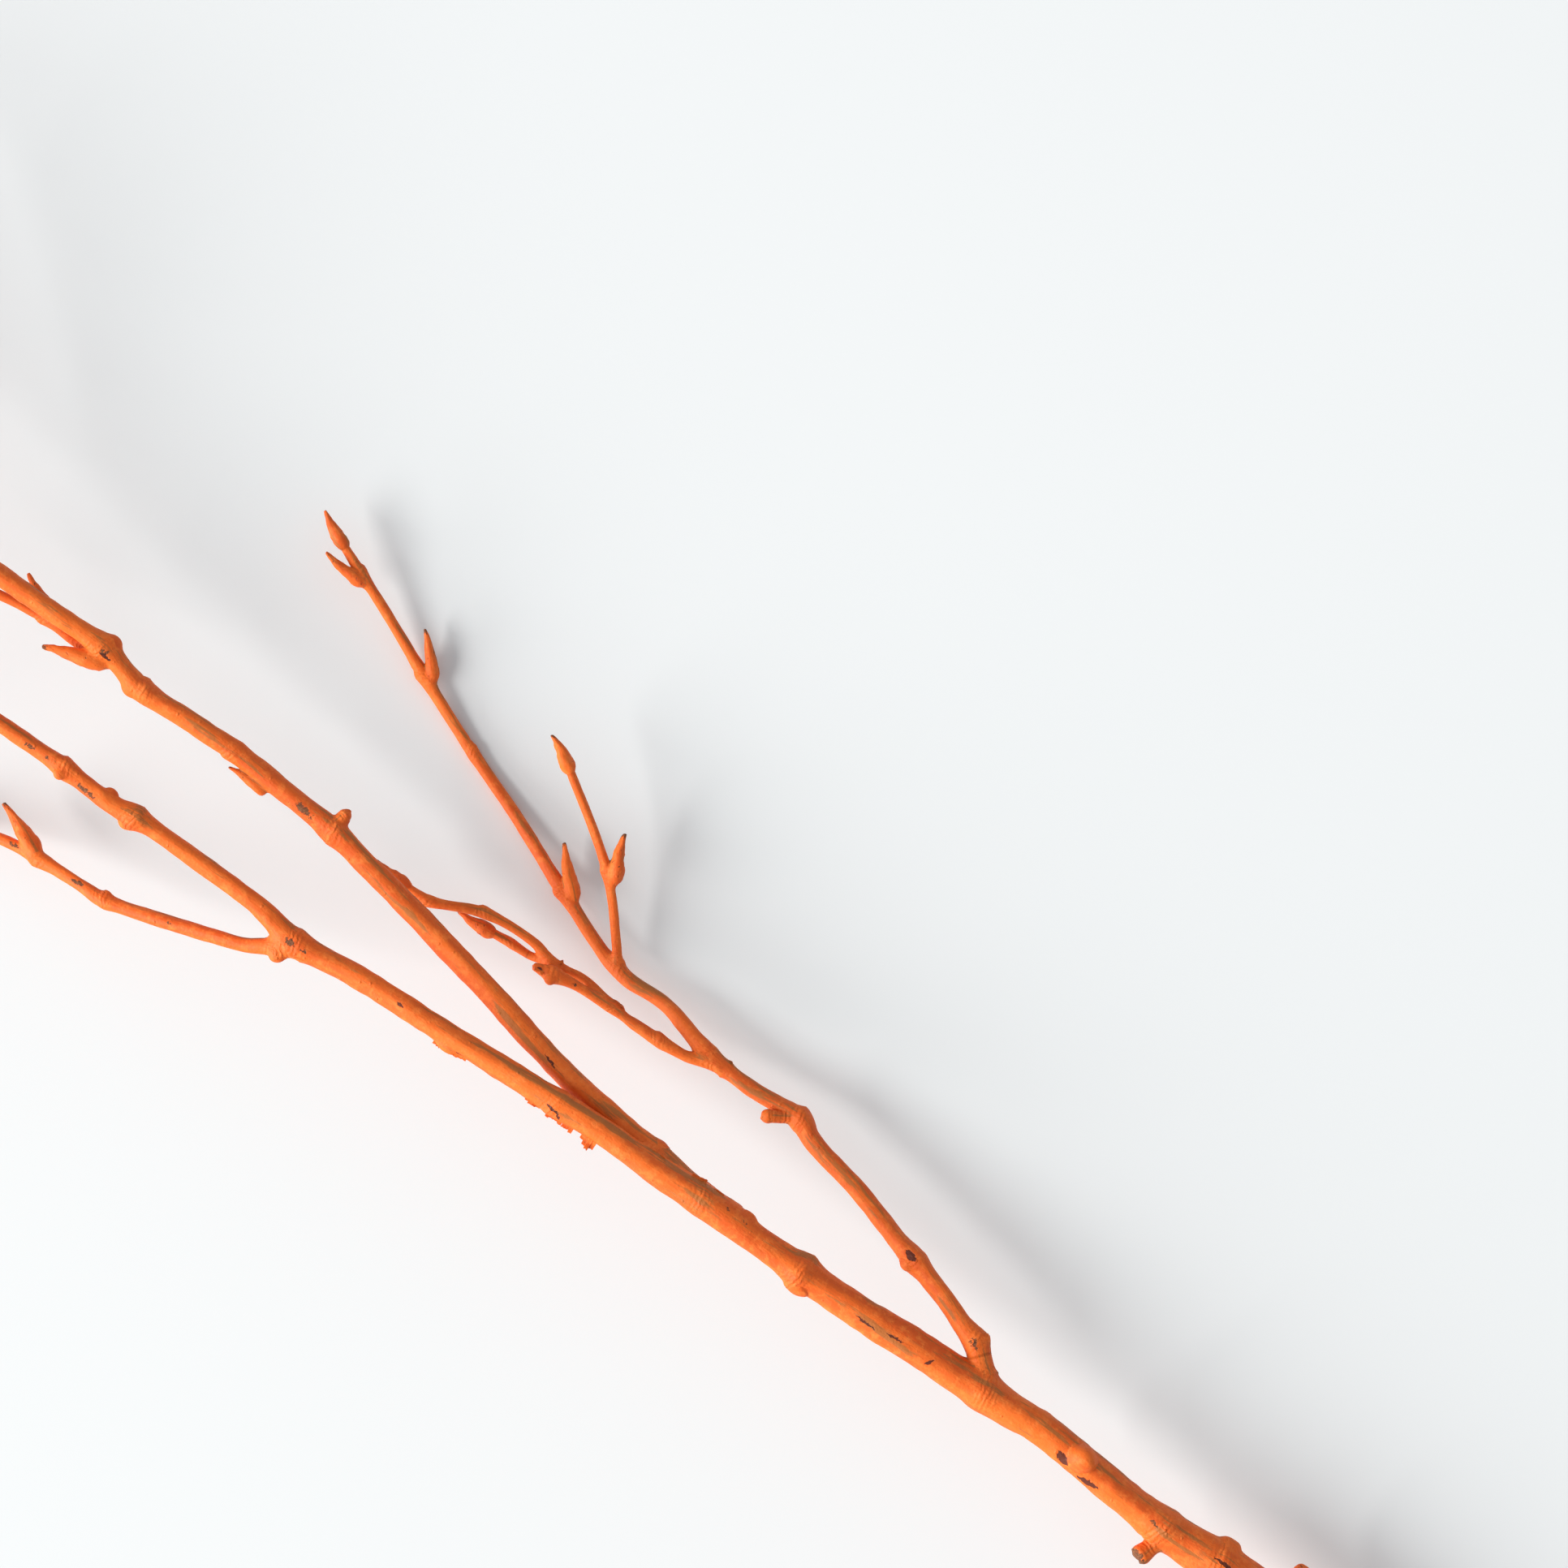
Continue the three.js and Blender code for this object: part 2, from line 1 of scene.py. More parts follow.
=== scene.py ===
# A cut birch branch under matte orange paint, lying on a pale surface. Routes are in millimetres, in the plan
# that the part's own source uses; everything that Blender holds is in metres.
import itertools
import json
import math
import bmesh
import bpy
import numpy as np
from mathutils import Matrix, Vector

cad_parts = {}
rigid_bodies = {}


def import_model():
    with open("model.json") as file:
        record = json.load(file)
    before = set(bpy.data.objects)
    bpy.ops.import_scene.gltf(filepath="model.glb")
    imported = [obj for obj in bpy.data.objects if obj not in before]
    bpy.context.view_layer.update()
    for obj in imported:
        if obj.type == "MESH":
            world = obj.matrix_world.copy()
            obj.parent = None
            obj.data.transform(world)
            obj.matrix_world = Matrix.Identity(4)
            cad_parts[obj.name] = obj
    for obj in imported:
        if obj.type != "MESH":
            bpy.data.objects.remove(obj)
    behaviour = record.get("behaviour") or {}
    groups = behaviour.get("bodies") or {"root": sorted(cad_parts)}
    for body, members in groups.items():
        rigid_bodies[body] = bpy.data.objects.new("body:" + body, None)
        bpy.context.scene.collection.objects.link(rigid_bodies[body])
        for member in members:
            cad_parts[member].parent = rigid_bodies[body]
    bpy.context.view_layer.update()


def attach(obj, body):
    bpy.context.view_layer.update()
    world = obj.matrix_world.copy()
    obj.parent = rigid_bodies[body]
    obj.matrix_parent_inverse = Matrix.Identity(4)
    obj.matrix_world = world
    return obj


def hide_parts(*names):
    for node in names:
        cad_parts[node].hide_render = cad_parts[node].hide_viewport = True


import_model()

MM = 0.001
UPWARD = np.array([0.0, 0.0, 1.0])
SIDEWAYS = np.array([1.0, 0.0, 0.0])

# Placing, as in the part: routes are drawn in plan, x to the right, y up the sheet, z above the surface.
PLAN_TURN = math.radians(-145.1)
PLAN_MIDDLE = np.array([-36.1, -36.2, 0.0])

# Growth, as in the part
NODE_REACH = 2.2
COLLAR_FLARE = 0.35
COLLAR_REACH = 3.2
TWIG_SHARE = 0.55
TWIG_TIP_RADIUS = 0.7
TWIG_SEGMENT = 21
TWIG_BEND = 7
TWIG_ANGLE = 40
TWIG_SWEEP = 5
TWIG_NODE_SWELL = 0.22
TWIG_LEAST_TAPER = 0.1
BUD_LENGTH = 6.3
BUD_RADIUS = 1.4
BUD_LEAN = 17
BUD_SINK = 0.3
END_BUD_SHARE = 0.85
LEAST_BUD_SWELL = 0.15
SURFACE_WAVE = 0.035
CUT_SLOPE = 0.4

# How far aside of a limb's middle line a mark may lie, as a share of its radius
EDGE_SHARE = 0.97

# Fineness of the surface, in millimetres and faces
STEM_GRID = (0.62, 34)
BRANCH_GRID = (0.6, 24)
TWIG_GRID = (0.62, 14)
BUD_GRID = (22, 16)
KNOB_GRID = (12, 16)
SPUR_GRID = (18, 18)

# A limb's route runs from its root to its tip: (x, y, z, radius, swelling of a node there).
LIMBS = [
    dict(name="stem", grid=STEM_GRID, cut=True, tip_bud=True, route=[
        (177.8, -206.1, 4.9, 4.4, 0), (158, -190.5, 3.9, 4.35, 0), (136.8, -174.5, 4.9, 4.2, 0.5),
        (115.5, -157.8, 6.4, 4.1, 0), (96.8, -143.3, 8.2, 3.9, 0.6), (80.5, -130.8, 9.9, 3.75, 0),
        (67.1, -120.8, 11.4, 3.5, 0.3), (58.5, -115, 12.4, 3, 0.4), (48.5, -107, 13.6, 2.6, 0),
        (39.6, -99.5, 14.7, 2.65, 0), (31, -94.1, 15.5, 2.8, 0.4), (19.1, -86.1, 16.8, 2.75, 0),
        (11.1, -81, 17.7, 2.55, 0), (2.4, -75, 18.6, 2.45, 0.65), (-4.8, -69.8, 19.3, 2.25, 0),
        (-12.8, -63.8, 20, 2.35, 0.2), (-19, -59.9, 20.4, 2.25, 0), (-26.9, -54.1, 20.9, 2.1, 0),
        (-34.9, -48.9, 21.2, 2.05, 0.15), (-50.9, -38.8, 21.6, 1.85, 0), (-65, -29.8, 21.4, 1.8, 0),
        (-74.9, -24.4, 21, 1.75, 0.35), (-80.9, -18.6, 21.2, 1.55, 0), (-90.5, -11.4, 21.8, 1.4, 0),
        (-99.6, -5, 22.6, 1.4, 0.55), (-103.3, -3, 22.8, 1.4, 0), (-110.3, 2.5, 23, 1.35, 0.35),
        (-120.8, 9.8, 24.2, 1.3, 0), (-130, 16.2, 25, 1.25, 0.35), (-143.3, 24.5, 26.2, 1.2, 0),
        (-158.3, 37.6, 28.5, 1.15, 0.35), (-174.5, 47, 29.5, 1.05, 0.3), (-190.8, 60.8, 31.5, 1, 0.3),
        (-208.3, 70.8, 32, 0.92, 0.28), (-224.5, 84.5, 33.5, 0.85, 0.26), (-240.8, 93.9, 33.5, 0.8, 0.24),
        (-253.3, 107, 34.5, 0.75, 0.2), (-259.5, 115, 35, 0.7, 0),
    ]),
    dict(name="long_branch", parent="stem", grid=BRANCH_GRID, tip_bud=True, route=[
        (-8, -67, 18.9, 1.8, 0), (-13.9, -62.4, 18.3, 2, 0), (-20, -57, 18.2, 2, 0.2),
        (-27.3, -50.6, 18, 1.95, 0), (-32.4, -46.1, 17.6, 1.9, 0), (-38.3, -40, 17, 1.9, 0),
        (-45.1, -32.4, 16.6, 1.9, 0), (-51.8, -25.3, 16.4, 1.9, 0), (-59.5, -17.4, 16.6, 1.85, 0),
        (-64.3, -12.5, 17, 1.8, 0), (-69.4, -7.2, 17.4, 1.75, 0.45), (-78.4, 0, 18, 1.7, 0),
        (-84.8, 5.2, 18.8, 1.65, 0.15), (-91.8, 10, 19.8, 1.6, 0), (-98.5, 14.4, 20.8, 1.55, 0.3),
        (-104.6, 21, 22.2, 1.6, 0.5), (-113.5, 27.4, 23.6, 1.6, 0), (-120.8, 32.6, 25, 1.6, 0),
        (-132, 40.8, 27, 1.55, 0.4), (-145.8, 52.6, 30, 1.45, 0), (-158.3, 60.8, 32.5, 1.4, 0.35),
        (-173.3, 74.5, 36, 1.25, 0.35), (-185.8, 83.3, 38.5, 1.15, 0.3), (-200.8, 98.3, 42, 1.05, 0.3),
        (-212, 107, 44, 0.95, 0.28), (-224.5, 120.8, 47, 0.8, 0.25), (-230.5, 129.5, 48.6, 0.72, 0),
    ]),
    dict(name="inner_branch", parent="stem", grid=BRANCH_GRID, tip_bud=True, route=[
        (32, -95, 15.6, 1.7, 0), (30.3, -88.6, 15.4, 1.6, 0), (29.5, -86.2, 15.2, 1.6, 0.45),
        (27.5, -83.4, 14.8, 1.55, 0), (25.1, -79.8, 14.2, 1.5, 0), (20.1, -73.5, 13.2, 1.5, 0.45),
        (17.4, -70.4, 12.6, 1.5, 0), (11, -62.5, 11.2, 1.5, 0), (4.6, -55.6, 9.9, 1.45, 0),
        (2.4, -52, 9.4, 1.45, 0.4), (-5.1, -47.4, 8.4, 1.35, 0), (-12, -41.8, 7.2, 1.3, 0.35),
        (-18.3, -34.5, 5.8, 1.2, 0), (-25.8, -29.3, 4.6, 1.15, 0.3), (-34.5, -16.8, 2.9, 1.05, 0.3),
        (-40.8, -6.8, 1.5, 1, 0), (-48.9, 5.1, 0.82, 0.95, 0.1), (-56.4, 17, 1.9, 0.9, 0.25),
        (-60.8, 24.5, 3.2, 0.85, 0), (-66, 33, 4.9, 0.78, 0.2), (-69.5, 38.6, 6.1, 0.72, 0),
    ]),
    dict(name="outer_twig", parent="stem", grid=TWIG_GRID, tip_bud=True, route=[
        (-73.5, -25.6, 21, 1.3, 0), (-77.6, -24.9, 20.6, 1.3, 0.4), (-82.5, -24.8, 19.4, 1.15, 0),
        (-87.6, -23.5, 18, 1.15, 0), (-92.9, -22, 16.4, 1.15, 0), (-97, -20.8, 15.2, 1.15, 0),
        (-100.9, -19.6, 14, 1.1, 0), (-105.3, -18, 12.6, 1.05, 0.25), (-109.6, -15.3, 11.2, 0.98, 0),
        (-115.8, -11.6, 9.2, 0.95, 0.35), (-120.8, -9, 7.6, 0.9, 0), (-130.8, -5.5, 4.6, 0.85, 0.25),
        (-142, 0.8, 1.6, 0.82, 0), (-150, 4, 0.66, 0.8, 0.1), (-158, 9.5, 1.5, 0.76, 0.2),
        (-168, 14, 4, 0.7, 0),
    ]),
    dict(name="broken_twig", parent="inner_branch", grid=TWIG_GRID, tip_bud=False, route=[
        (-8.5, -44.6, 7.6, 1, 0), (-14.5, -42.6, 8, 0.95, 0), (-19.5, -39.8, 8.6, 0.92, 0.2),
        (-26.9, -34.8, 9.6, 0.9, 0.3), (-31.9, -31.4, 10.4, 0.9, 0), (-36, -29.4, 11, 0.95, 0.45),
        (-38.8, -28.2, 11.2, 0.6, 0),
    ]),
    dict(name="crossing_twig", parent="broken_twig", grid=TWIG_GRID, tip_bud=True, route=[
        (-25.8, -35.4, 9.4, 0.85, 0), (-30.4, -31, 8.6, 0.85, 0), (-36.3, -27.3, 9, 0.85, 0.2),
        (-39, -24.6, 9.4, 0.82, 0), (-46.5, -20, 10.2, 0.78, 0.2), (-55.4, -18, 10.9, 0.74, 0.25),
        (-59.9, -14.9, 11.1, 0.7, 0),
    ]),
    dict(name="short_twig", parent="crossing_twig", grid=TWIG_GRID, tip_bud=True, route=[
        (-34.6, -28.4, 8.9, 0.75, 0), (-39, -26.9, 8.3, 0.72, 0), (-42.6, -24.6, 8.2, 0.7, 0.2),
        (-47, -22.3, 8.3, 0.68, 0),
    ]),
    dict(name="cluster_twig", parent="long_branch", grid=TWIG_GRID, tip_bud=True, route=[
        (-104.5, 20, 21.6, 0.85, 0), (-108.5, 21.6, 20.6, 0.8, 0), (-113.5, 25.4, 20.4, 0.75, 0.25),
        (-120.8, 29.2, 20.8, 0.74, 0), (-130, 33, 21.6, 0.72, 0.2), (-139, 38.5, 22.6, 0.7, 0),
    ]),
]

# Twigs that grow by rule: (limb, plan place near the root, side, length, rise).
RULED_TWIGS = [
    ("stem", (-130, 16.2), -1, 62, 6), ("stem", (-158.3, 37.6), 1, 74, 4),
    ("stem", (-190.8, 60.8), -1, 48, 5), ("stem", (-208.3, 70.8), 1, 34, 5),
    ("long_branch", (-132, 40.8), 1, 78, 4), ("long_branch", (-158.3, 60.8), -1, 58, -2),
    ("long_branch", (-185.8, 83.3), 1, 44, 3), ("inner_branch", (-25.8, -29.3), 1, 34, 8),
]

# Buds at measured places: (limb, plan place, angle round the limb from the top, length, radius, lean).
PLACED_BUDS = [
    ("outer_twig", (-117.8, -10.5), 78, 7.4, 1.5, 32),
    ("long_branch", (-104.6, 21), -85, 7.6, 1.55, 26),
    ("long_branch", (-80.3, 1.3), -88, 5, 1.02, 0.5),
    ("stem", (-130, 16.2), 95, 7.2, 1.45, 30),
    ("outer_twig", (-130.8, -5.5), -80, 6.8, 1.35, 32),
]

# Knobs and lumps, by limb: (plan place, angle round the limb, length, width, height above the bark).
KNOBS = {
    "stem": [
        ((45.3, -104), 15, 5.8, 4.9, 2.5), ((-110.6, 2.2), -48, 2.6, 2, 0.8),
        ((-103.9, -2.4), 92, 3.2, 2.2, 0.8), ((-100.6, -5.6), -95, 3.4, 2.4, 0.6),
        ((-6.8, -68.4), 92, 4.2, 2.6, 0.7), ((-50.5, -39.2), -92, 5.2, 3, 0.8),
        ((3.5, -75.6), -70, 4.6, 3.4, 0.5), ((96.8, -143.3), -60, 6, 5, 1),
        ((136.8, -174.5), 60, 6.5, 5.5, 1.1), ((67.1, -120.8), 85, 5, 4, 0.9),
    ],
    "long_branch": [
        ((-99.5, 15), -92, 3.6, 2.4, 0.6), ((-104, 20.4), 88, 4, 2.8, 0.9), ((-20, -57), 70, 3.4, 2.8, 0.4),
    ],
    "inner_branch": [((20.1, -73.5), -60, 2.8, 2.4, 0.6), ((29.5, -86.2), 70, 2.8, 2.4, 0.5)],
    "outer_twig": [((-77.6, -24.9), -70, 3.2, 2.6, 0.9), ((-105.3, -18), 80, 2, 1.6, 0.4)],
    "broken_twig": [((-36, -29.4), -50, 2.4, 2.2, 0.8)],
}

# Spurs and broken stubs: (limb, plan place, angle round the limb, length, radius, lean, end knob radius).
SPURS = [
    ("stem", (59.6, -115.9), -78, 3.4, 1.6, 68, 0), ("inner_branch", (2.4, -52), -60, 3.2, 1.1, 45, 1.25),
    ("long_branch", (-69.4, -7.2), 84, 0.7, 1.75, 84, 1.15), ("stem", (115.5, -157.8), -70, 9, 1.9, 55, 0),
    ("stem", (150, -184.4), 65, 6, 1.7, 60, 0), ("stem", (80.5, -130.8), 74, 5, 1.3, 50, 1.5),
]

# Where the buds by rule start on the measured limbs.
RULED_BUDS_FROM = {
    "stem": (-140, 22), "long_branch": (-140, 48), "inner_branch": (-30, -23), "outer_twig": (-152, 6),
    "broken_twig": (-38.8, -28.2), "crossing_twig": (-59.9, -14.9), "short_twig": (-47, -22.3),
}

# Paint worn through to brown bark, by limb: (plan place, length, width, strength).
BARE_PATCHES = {
    "stem": [
        ((-115.8, 6.1), 2.4, 1.2, 1.15), ((-113.1, 4.2), 1.8, 1, 1.1), ((-107.2, -0.9), 6, 1.5, 1.05),
        ((-75.9, -24.1), 2.2, 1.5, 1.2), ((-73.6, -25.7), 1.8, 1, 1), ((-8.9, -65.2), 1.6, 1, 0.9),
        ((-6.2, -67.2), 2, 1, 0.8), ((130, -169), 9, 3, 0.8), ((102, -147), 6, 2.4, 0.7),
        ((56.5, -113.6), 3, 1.6, 0.7), ((160, -191), 7, 3, 0.8),
    ],
    "long_branch": [
        ((-73.9, -4.1), 4.6, 2.1, 1.15), ((-104, 20.1), 3, 1.8, 0.8), ((-12.6, -64), 2.4, 1.2, 0.8),
    ],
    "inner_branch": [((29.5, -86.5), 3.6, 1.8, 0.9)],
    "outer_twig": [
        ((-109.2, -15.4), 4.2, 1.1, 1.1), ((-94.3, -21.4), 2, 0.9, 1.1), ((-119.4, -9.6), 2.6, 1, 1),
    ],
    "broken_twig": [((-32.5, -31), 2.4, 0.9, 0.8)],
}

# Long streaks where the paint is thin and olive, by limb: (plan place, length, width, strength).
STREAKS = {
    "stem": [
        ((6.6, -77.6), 11, 0.8, 1), ((17, -86.2), 9, 0.8, 0.7), ((-29, -51), 16, 1.4, 0.8),
        ((-14, -60.6), 12, 1.2, 0.8), ((-1, -70.4), 7, 1.2, 0.7), ((-86, -14.8), 7, 0.8, 0.6),
        ((-66, -29.4), 8, 0.8, 0.5), ((62, -118), 14, 1.4, 0.7), ((90, -139), 16, 1.8, 0.8),
        ((120, -160), 18, 2, 0.8), ((-116, 7.4), 9, 0.7, 0.6),
    ],
    "long_branch": [((-55.9, -22.2), 9, 0.9, 0.9), ((-40.4, -38.6), 14, 1, 1), ((-90, 8.6), 8, 0.9, 0.6)],
    "inner_branch": [((25.2, -81), 6, 0.9, 1), ((8, -59.4), 8, 0.8, 0.7)],
    "outer_twig": [((-85.4, -24), 5, 0.6, 0.5)],
}

# Dark cracks in the paint, by limb: (plan place of one end, plan place of the other, half its width).
CRACKS = {
    "stem": [
        ((10.9, -81.5), (14.1, -84.1), 0.2), ((15.3, -84.2), (18.1, -85.8), 0.2),
        ((21, -88.9), (23.1, -88.6), 0.22), ((41.9, -102.4), (43.5, -105), 0.8),
        ((45.2, -106.8), (48.9, -109), 0.6), ((-58.9, -33.6), (-58.2, -34.4), 0.28),
        ((-51.4, -40.6), (-48.6, -42.2), 0.2), ((-36.4, -48.9), (-35, -50.4), 0.25),
        ((-35.1, -50.2), (-34.2, -51.6), 0.22), ((66, -119), (71.5, -123.4), 0.35),
        ((106, -150), (113, -155.5), 0.45), ((146, -181), (155, -187.5), 0.5),
        ((122, -163.6), (128, -167), 0.35), ((134, -174), (136, -172.5), 0.5),
    ],
    "long_branch": [((-37, -41.4), (-35, -43.8), 0.2), ((-105.4, 20.6), (-103.4, 19.2), 0.35)],
    "inner_branch": [((19.1, -72.3), (20.3, -73.8), 0.7)],
    "broken_twig": [((-37.4, -28.9), (-38.3, -28.5), 0.35)],
}

# Ledges across the bark, by limb: (plan place, width round the limb, height, reach to the root, to the tip).
LEDGES = {
    "stem": [
        ((-6.6, -65.6), 2.8, 0.5, 0.4, 2.2), ((3.3, -74.2), 2, 0.4, 0.5, 0.45),
        ((1.6, -75.4), 1.6, 0.35, 1.2, 0.4), ((-99, -5), 1.8, 0.35, 0.5, 0.45),
        ((-104.6, -1), 1.2, 0.3, 0.4, 1), ((-78.8, -21), 1.2, 0.2, 0.4, 0.4),
        ((30.4, -93), 2.4, 0.25, 0.5, 0.5), ((50.5, -108), 2, 0.3, 1.5, 0.5),
    ],
    "long_branch": [
        ((-20.4, -56), 2.6, 0.45, 0.4, 1.4), ((-42, -36.4), 1.6, 0.22, 0.5, 0.7),
        ((-67.8, -8.4), 1.6, 0.3, 0.5, 0.5),
    ],
    "inner_branch": [((29.6, -86.4), 1.6, 0.3, 0.5, 0.5)],
    "outer_twig": [((-76.6, -25.2), 1.4, 0.35, 0.5, 0.4), ((-104.8, -18.2), 0.9, 0.22, 0.4, 0.35)],
}

# Torn flakes of paint at the edge of a limb: (limb, plan place, degrees, reach, length, count of teeth).
FLAKES = [
    ("stem", (-37.6, -47.8), -78, 0.5, 3.4, 5), ("stem", (-34.6, -50.6), -84, 0.7, 3, 4),
    ("stem", (-32.8, -51.8), -86, 1.1, 2, 3), ("stem", (-29.6, -53.4), -88, 1.7, 2.8, 4),
    ("stem", (-50, -40.2), -80, 0.6, 4.4, 6), ("stem", (-52.8, -37.8), -86, 0.9, 1.4, 2),
    ("stem", (-14.6, -62.6), 84, 0.8, 2.6, 4), ("stem", (-11.4, -64.8), 82, 0.5, 2, 3),
    ("stem", (-20.6, -58.6), 82, 0.5, 3, 4),
    ("broken_twig", (-38, -28.6), -20, 0.9, 1.6, 3),
    ("stem", (104, -149), 88, 1, 4, 5), ("long_branch", (-19.6, -57.4), 60, 0.5, 1.8, 3),
]


# Repeatable draws and noise

WAVE_PITCH = 12.9898
WAVE_START = 4.1414
WAVE_SPREAD = 43758.5453
HASH_FACTORS = (73856093, 19349663, 83492791, 40503)
HASH_BITS = 0xFFFFFF


def draw(number):
    """A repeatable draw from 0 to 1."""
    wave = math.sin(number * WAVE_PITCH + WAVE_START) * WAVE_SPREAD
    return wave - math.floor(wave)


def lattice(x, y, z, seed):
    """A repeatable value from -1 to 1 for each whole-numbered place."""
    mixed = 0
    for value, factor in zip((x, y, z, seed), HASH_FACTORS):
        mixed = mixed ^ (value * factor)
    mixed = (mixed ^ (mixed >> 13)) & HASH_BITS
    mixed = (mixed * 1103515 + 12345) & HASH_BITS
    mixed = (mixed ^ (mixed >> 9)) * 69069 & HASH_BITS
    return mixed / (HASH_BITS // 2) - 1.0


def noise(points, scale, seed):
    """Smooth noise from -1 to 1 of points in millimetres; scale is the size of its lumps."""
    cell = points / scale
    low = np.floor(cell).astype(np.int64)
    share = cell - low
    share = share * share * (3 - 2 * share)
    total = np.zeros(points.shape[:-1])
    for corner in itertools.product((0, 1), repeat=3):
        weight = np.prod(np.where(corner, share, 1 - share), axis=-1)
        total += weight * lattice(*np.moveaxis(low + corner, -1, 0), seed)
    return total


# Limbs

LOOK_BACK = 3
LOOK_AHEAD = 2
SMOOTHED_FROM = 8


class Limb:
    """A traced limb: fine samples of its centre line, its radius and its nodes, all in millimetres."""

    FINE = 12

    def __init__(self, name, grid, route, parent=None, tip_bud=False, cut=False):
        self.name, self.grid, self.parent, self.tip_bud, self.cut = name, grid, parent, tip_bud, cut
        self.points, self.radii = trace_route(np.array(route, float), self.FINE)
        strides = np.linalg.norm(np.diff(self.points, axis=0), axis=1)
        self.along = np.concatenate([[0], np.cumsum(strides)])
        self.length = self.along[-1]
        self.nodes = [(self.along[i * self.FINE], row[4]) for i, row in enumerate(route) if row[4] > 0]

    def stations(self, along):
        """Centre, forward, right, up and radius at distances from the root."""
        along = np.atleast_1d(np.asarray(along, float))
        centre = np.stack([np.interp(along, self.along, axis) for axis in self.points.T], axis=1)
        index = np.clip(np.searchsorted(self.along, along), 1, len(self.along) - 1)
        back = self.points[np.maximum(index - LOOK_BACK, 0)]
        ahead = self.points[np.minimum(index + LOOK_AHEAD, len(self.points) - 1)]
        forward = unit(smooth_rows(ahead - back) if len(along) > SMOOTHED_FROM else ahead - back)
        right = unit(np.cross(forward, UPWARD))
        radius = np.interp(along, self.along, self.radii)
        if not self.cut:
            radius = radius * (1 + COLLAR_FLARE * np.exp(-(along / COLLAR_REACH) ** 2))
        for at, swell in self.nodes:
            radius = radius + swell * np.exp(-((along - at) / NODE_REACH) ** 2)
        return centre, forward, right, np.cross(right, forward), radius

    def station(self, along):
        """The same at one distance."""
        return [value[0] for value in self.stations(along)]

    def distance_of(self, place):
        gaps = np.hypot(self.points[:, 0] - place[0], self.points[:, 1] - place[1])
        return self.along[int(np.argmin(gaps))]


def unit(vectors):
    return vectors / np.linalg.norm(vectors, axis=-1, keepdims=True)


def smooth_rows(rows, passes=2):
    """Evens out a list of directions along a limb."""
    for _ in range(passes):
        padded = np.vstack([rows[:1], rows, rows[-1:]])
        rows = (padded[:-2] + 2 * padded[1:-1] + padded[2:]) / 4
    return rows


def trace_route(route, fine):
    """A centripetal Catmull-Rom curve through the route, with the radius run straight between its rows."""
    knots = route[:, :3]
    padded = np.vstack([2 * knots[0] - knots[1], knots, 2 * knots[-1] - knots[-2]])
    points = []
    radii = []
    for i in range(len(knots) - 1):
        p0, p1, p2, p3 = padded[i:i + 4]
        d0, d1, d2 = (np.sqrt(np.linalg.norm(b - a)) for a, b in ((p0, p1), (p1, p2), (p2, p3)))
        t1 = ((p1 - p0) / d0 - (p2 - p0) / (d0 + d1) + (p2 - p1) / d1) * d1
        t2 = ((p2 - p1) / d1 - (p3 - p1) / (d1 + d2) + (p3 - p2) / d2) * d1
        last = i == len(knots) - 2
        for step in range(fine + last):
            t = step / fine
            points.append(
                p1 + t1 * t + (3 * (p2 - p1) - 2 * t1 - t2) * t * t + (2 * (p1 - p2) + t1 + t2) * t ** 3
            )
            radii.append(route[i, 3] + (route[i + 1, 3] - route[i, 3]) * t)
    return np.array(points), np.array(radii)


def ruled_twig(limbs, rule, number):
    """A twig that leaves its limb at an angle and bends a little to the other side at each node."""
    parent_name, place, side, length, rise = rule
    parent = limbs[parent_name]
    centre, forward, _, _, radius_there = parent.station(parent.distance_of(place))
    count = max(2, math.floor(length / TWIG_SEGMENT + 0.5))
    turn = math.atan2(forward[1], forward[0]) - side * math.radians(TWIG_ANGLE)
    radius = max(radius_there * TWIG_SHARE, TWIG_TIP_RADIUS + TWIG_LEAST_TAPER)
    route = [(*centre, radius, 0)]
    for i in range(1, count + 1):
        stride = (length / count) * (0.85 + 0.3 * draw(number * 31 + i))
        x, y, z = route[-1][:3]
        route.append((
            x + math.cos(turn) * stride, y + math.sin(turn) * stride, z + rise / count,
            radius + (TWIG_TIP_RADIUS - radius) * i / count, TWIG_NODE_SWELL if i < count else 0,
        ))
        wobble = TWIG_BEND * (0.6 + 0.8 * draw(number * 57 + i))
        turn += math.radians(side * TWIG_SWEEP + (wobble if i % 2 else -wobble))
    return Limb(f"{parent_name}_twig_{number}", TWIG_GRID, route, parent=parent_name, tip_bud=True)


def grow_limbs():
    limbs = {entry["name"]: Limb(**entry) for entry in LIMBS}
    for number, rule in enumerate(RULED_TWIGS, start=1):
        twig = ruled_twig(limbs, rule, number)
        limbs[twig.name] = twig
    return limbs


def rows_of(table, limbs):
    """Each row of a table by limb, with the limb in front."""
    for name, rows in table.items():
        for row in rows:
            yield limbs[name], *row


def bark_place(limb, along, degrees):
    """Centre, forward, outward and radius of a limb, at a distance from its root and an angle round it."""
    centre, forward, right, up, radius = limb.station(along)
    return centre, forward, around(math.radians(degrees), up, right), radius


def on_bark(limb, place):
    """Distance from the root and degrees round the limb of a place seen from above."""
    along = limb.distance_of(place)
    centre, _, right, _, radius = limb.station(along)
    aside = float(np.dot(np.array(place) - centre[:2], right[:2])) / radius
    return along, math.degrees(math.asin(max(-EDGE_SHARE, min(EDGE_SHARE, aside))))


def around(angle, up, right):
    """Outward from a centre line at an angle from its upper side."""
    return np.cos(angle)[..., None] * up + np.sin(angle)[..., None] * right


# Relief of the bark, in millimetres above the smooth limb

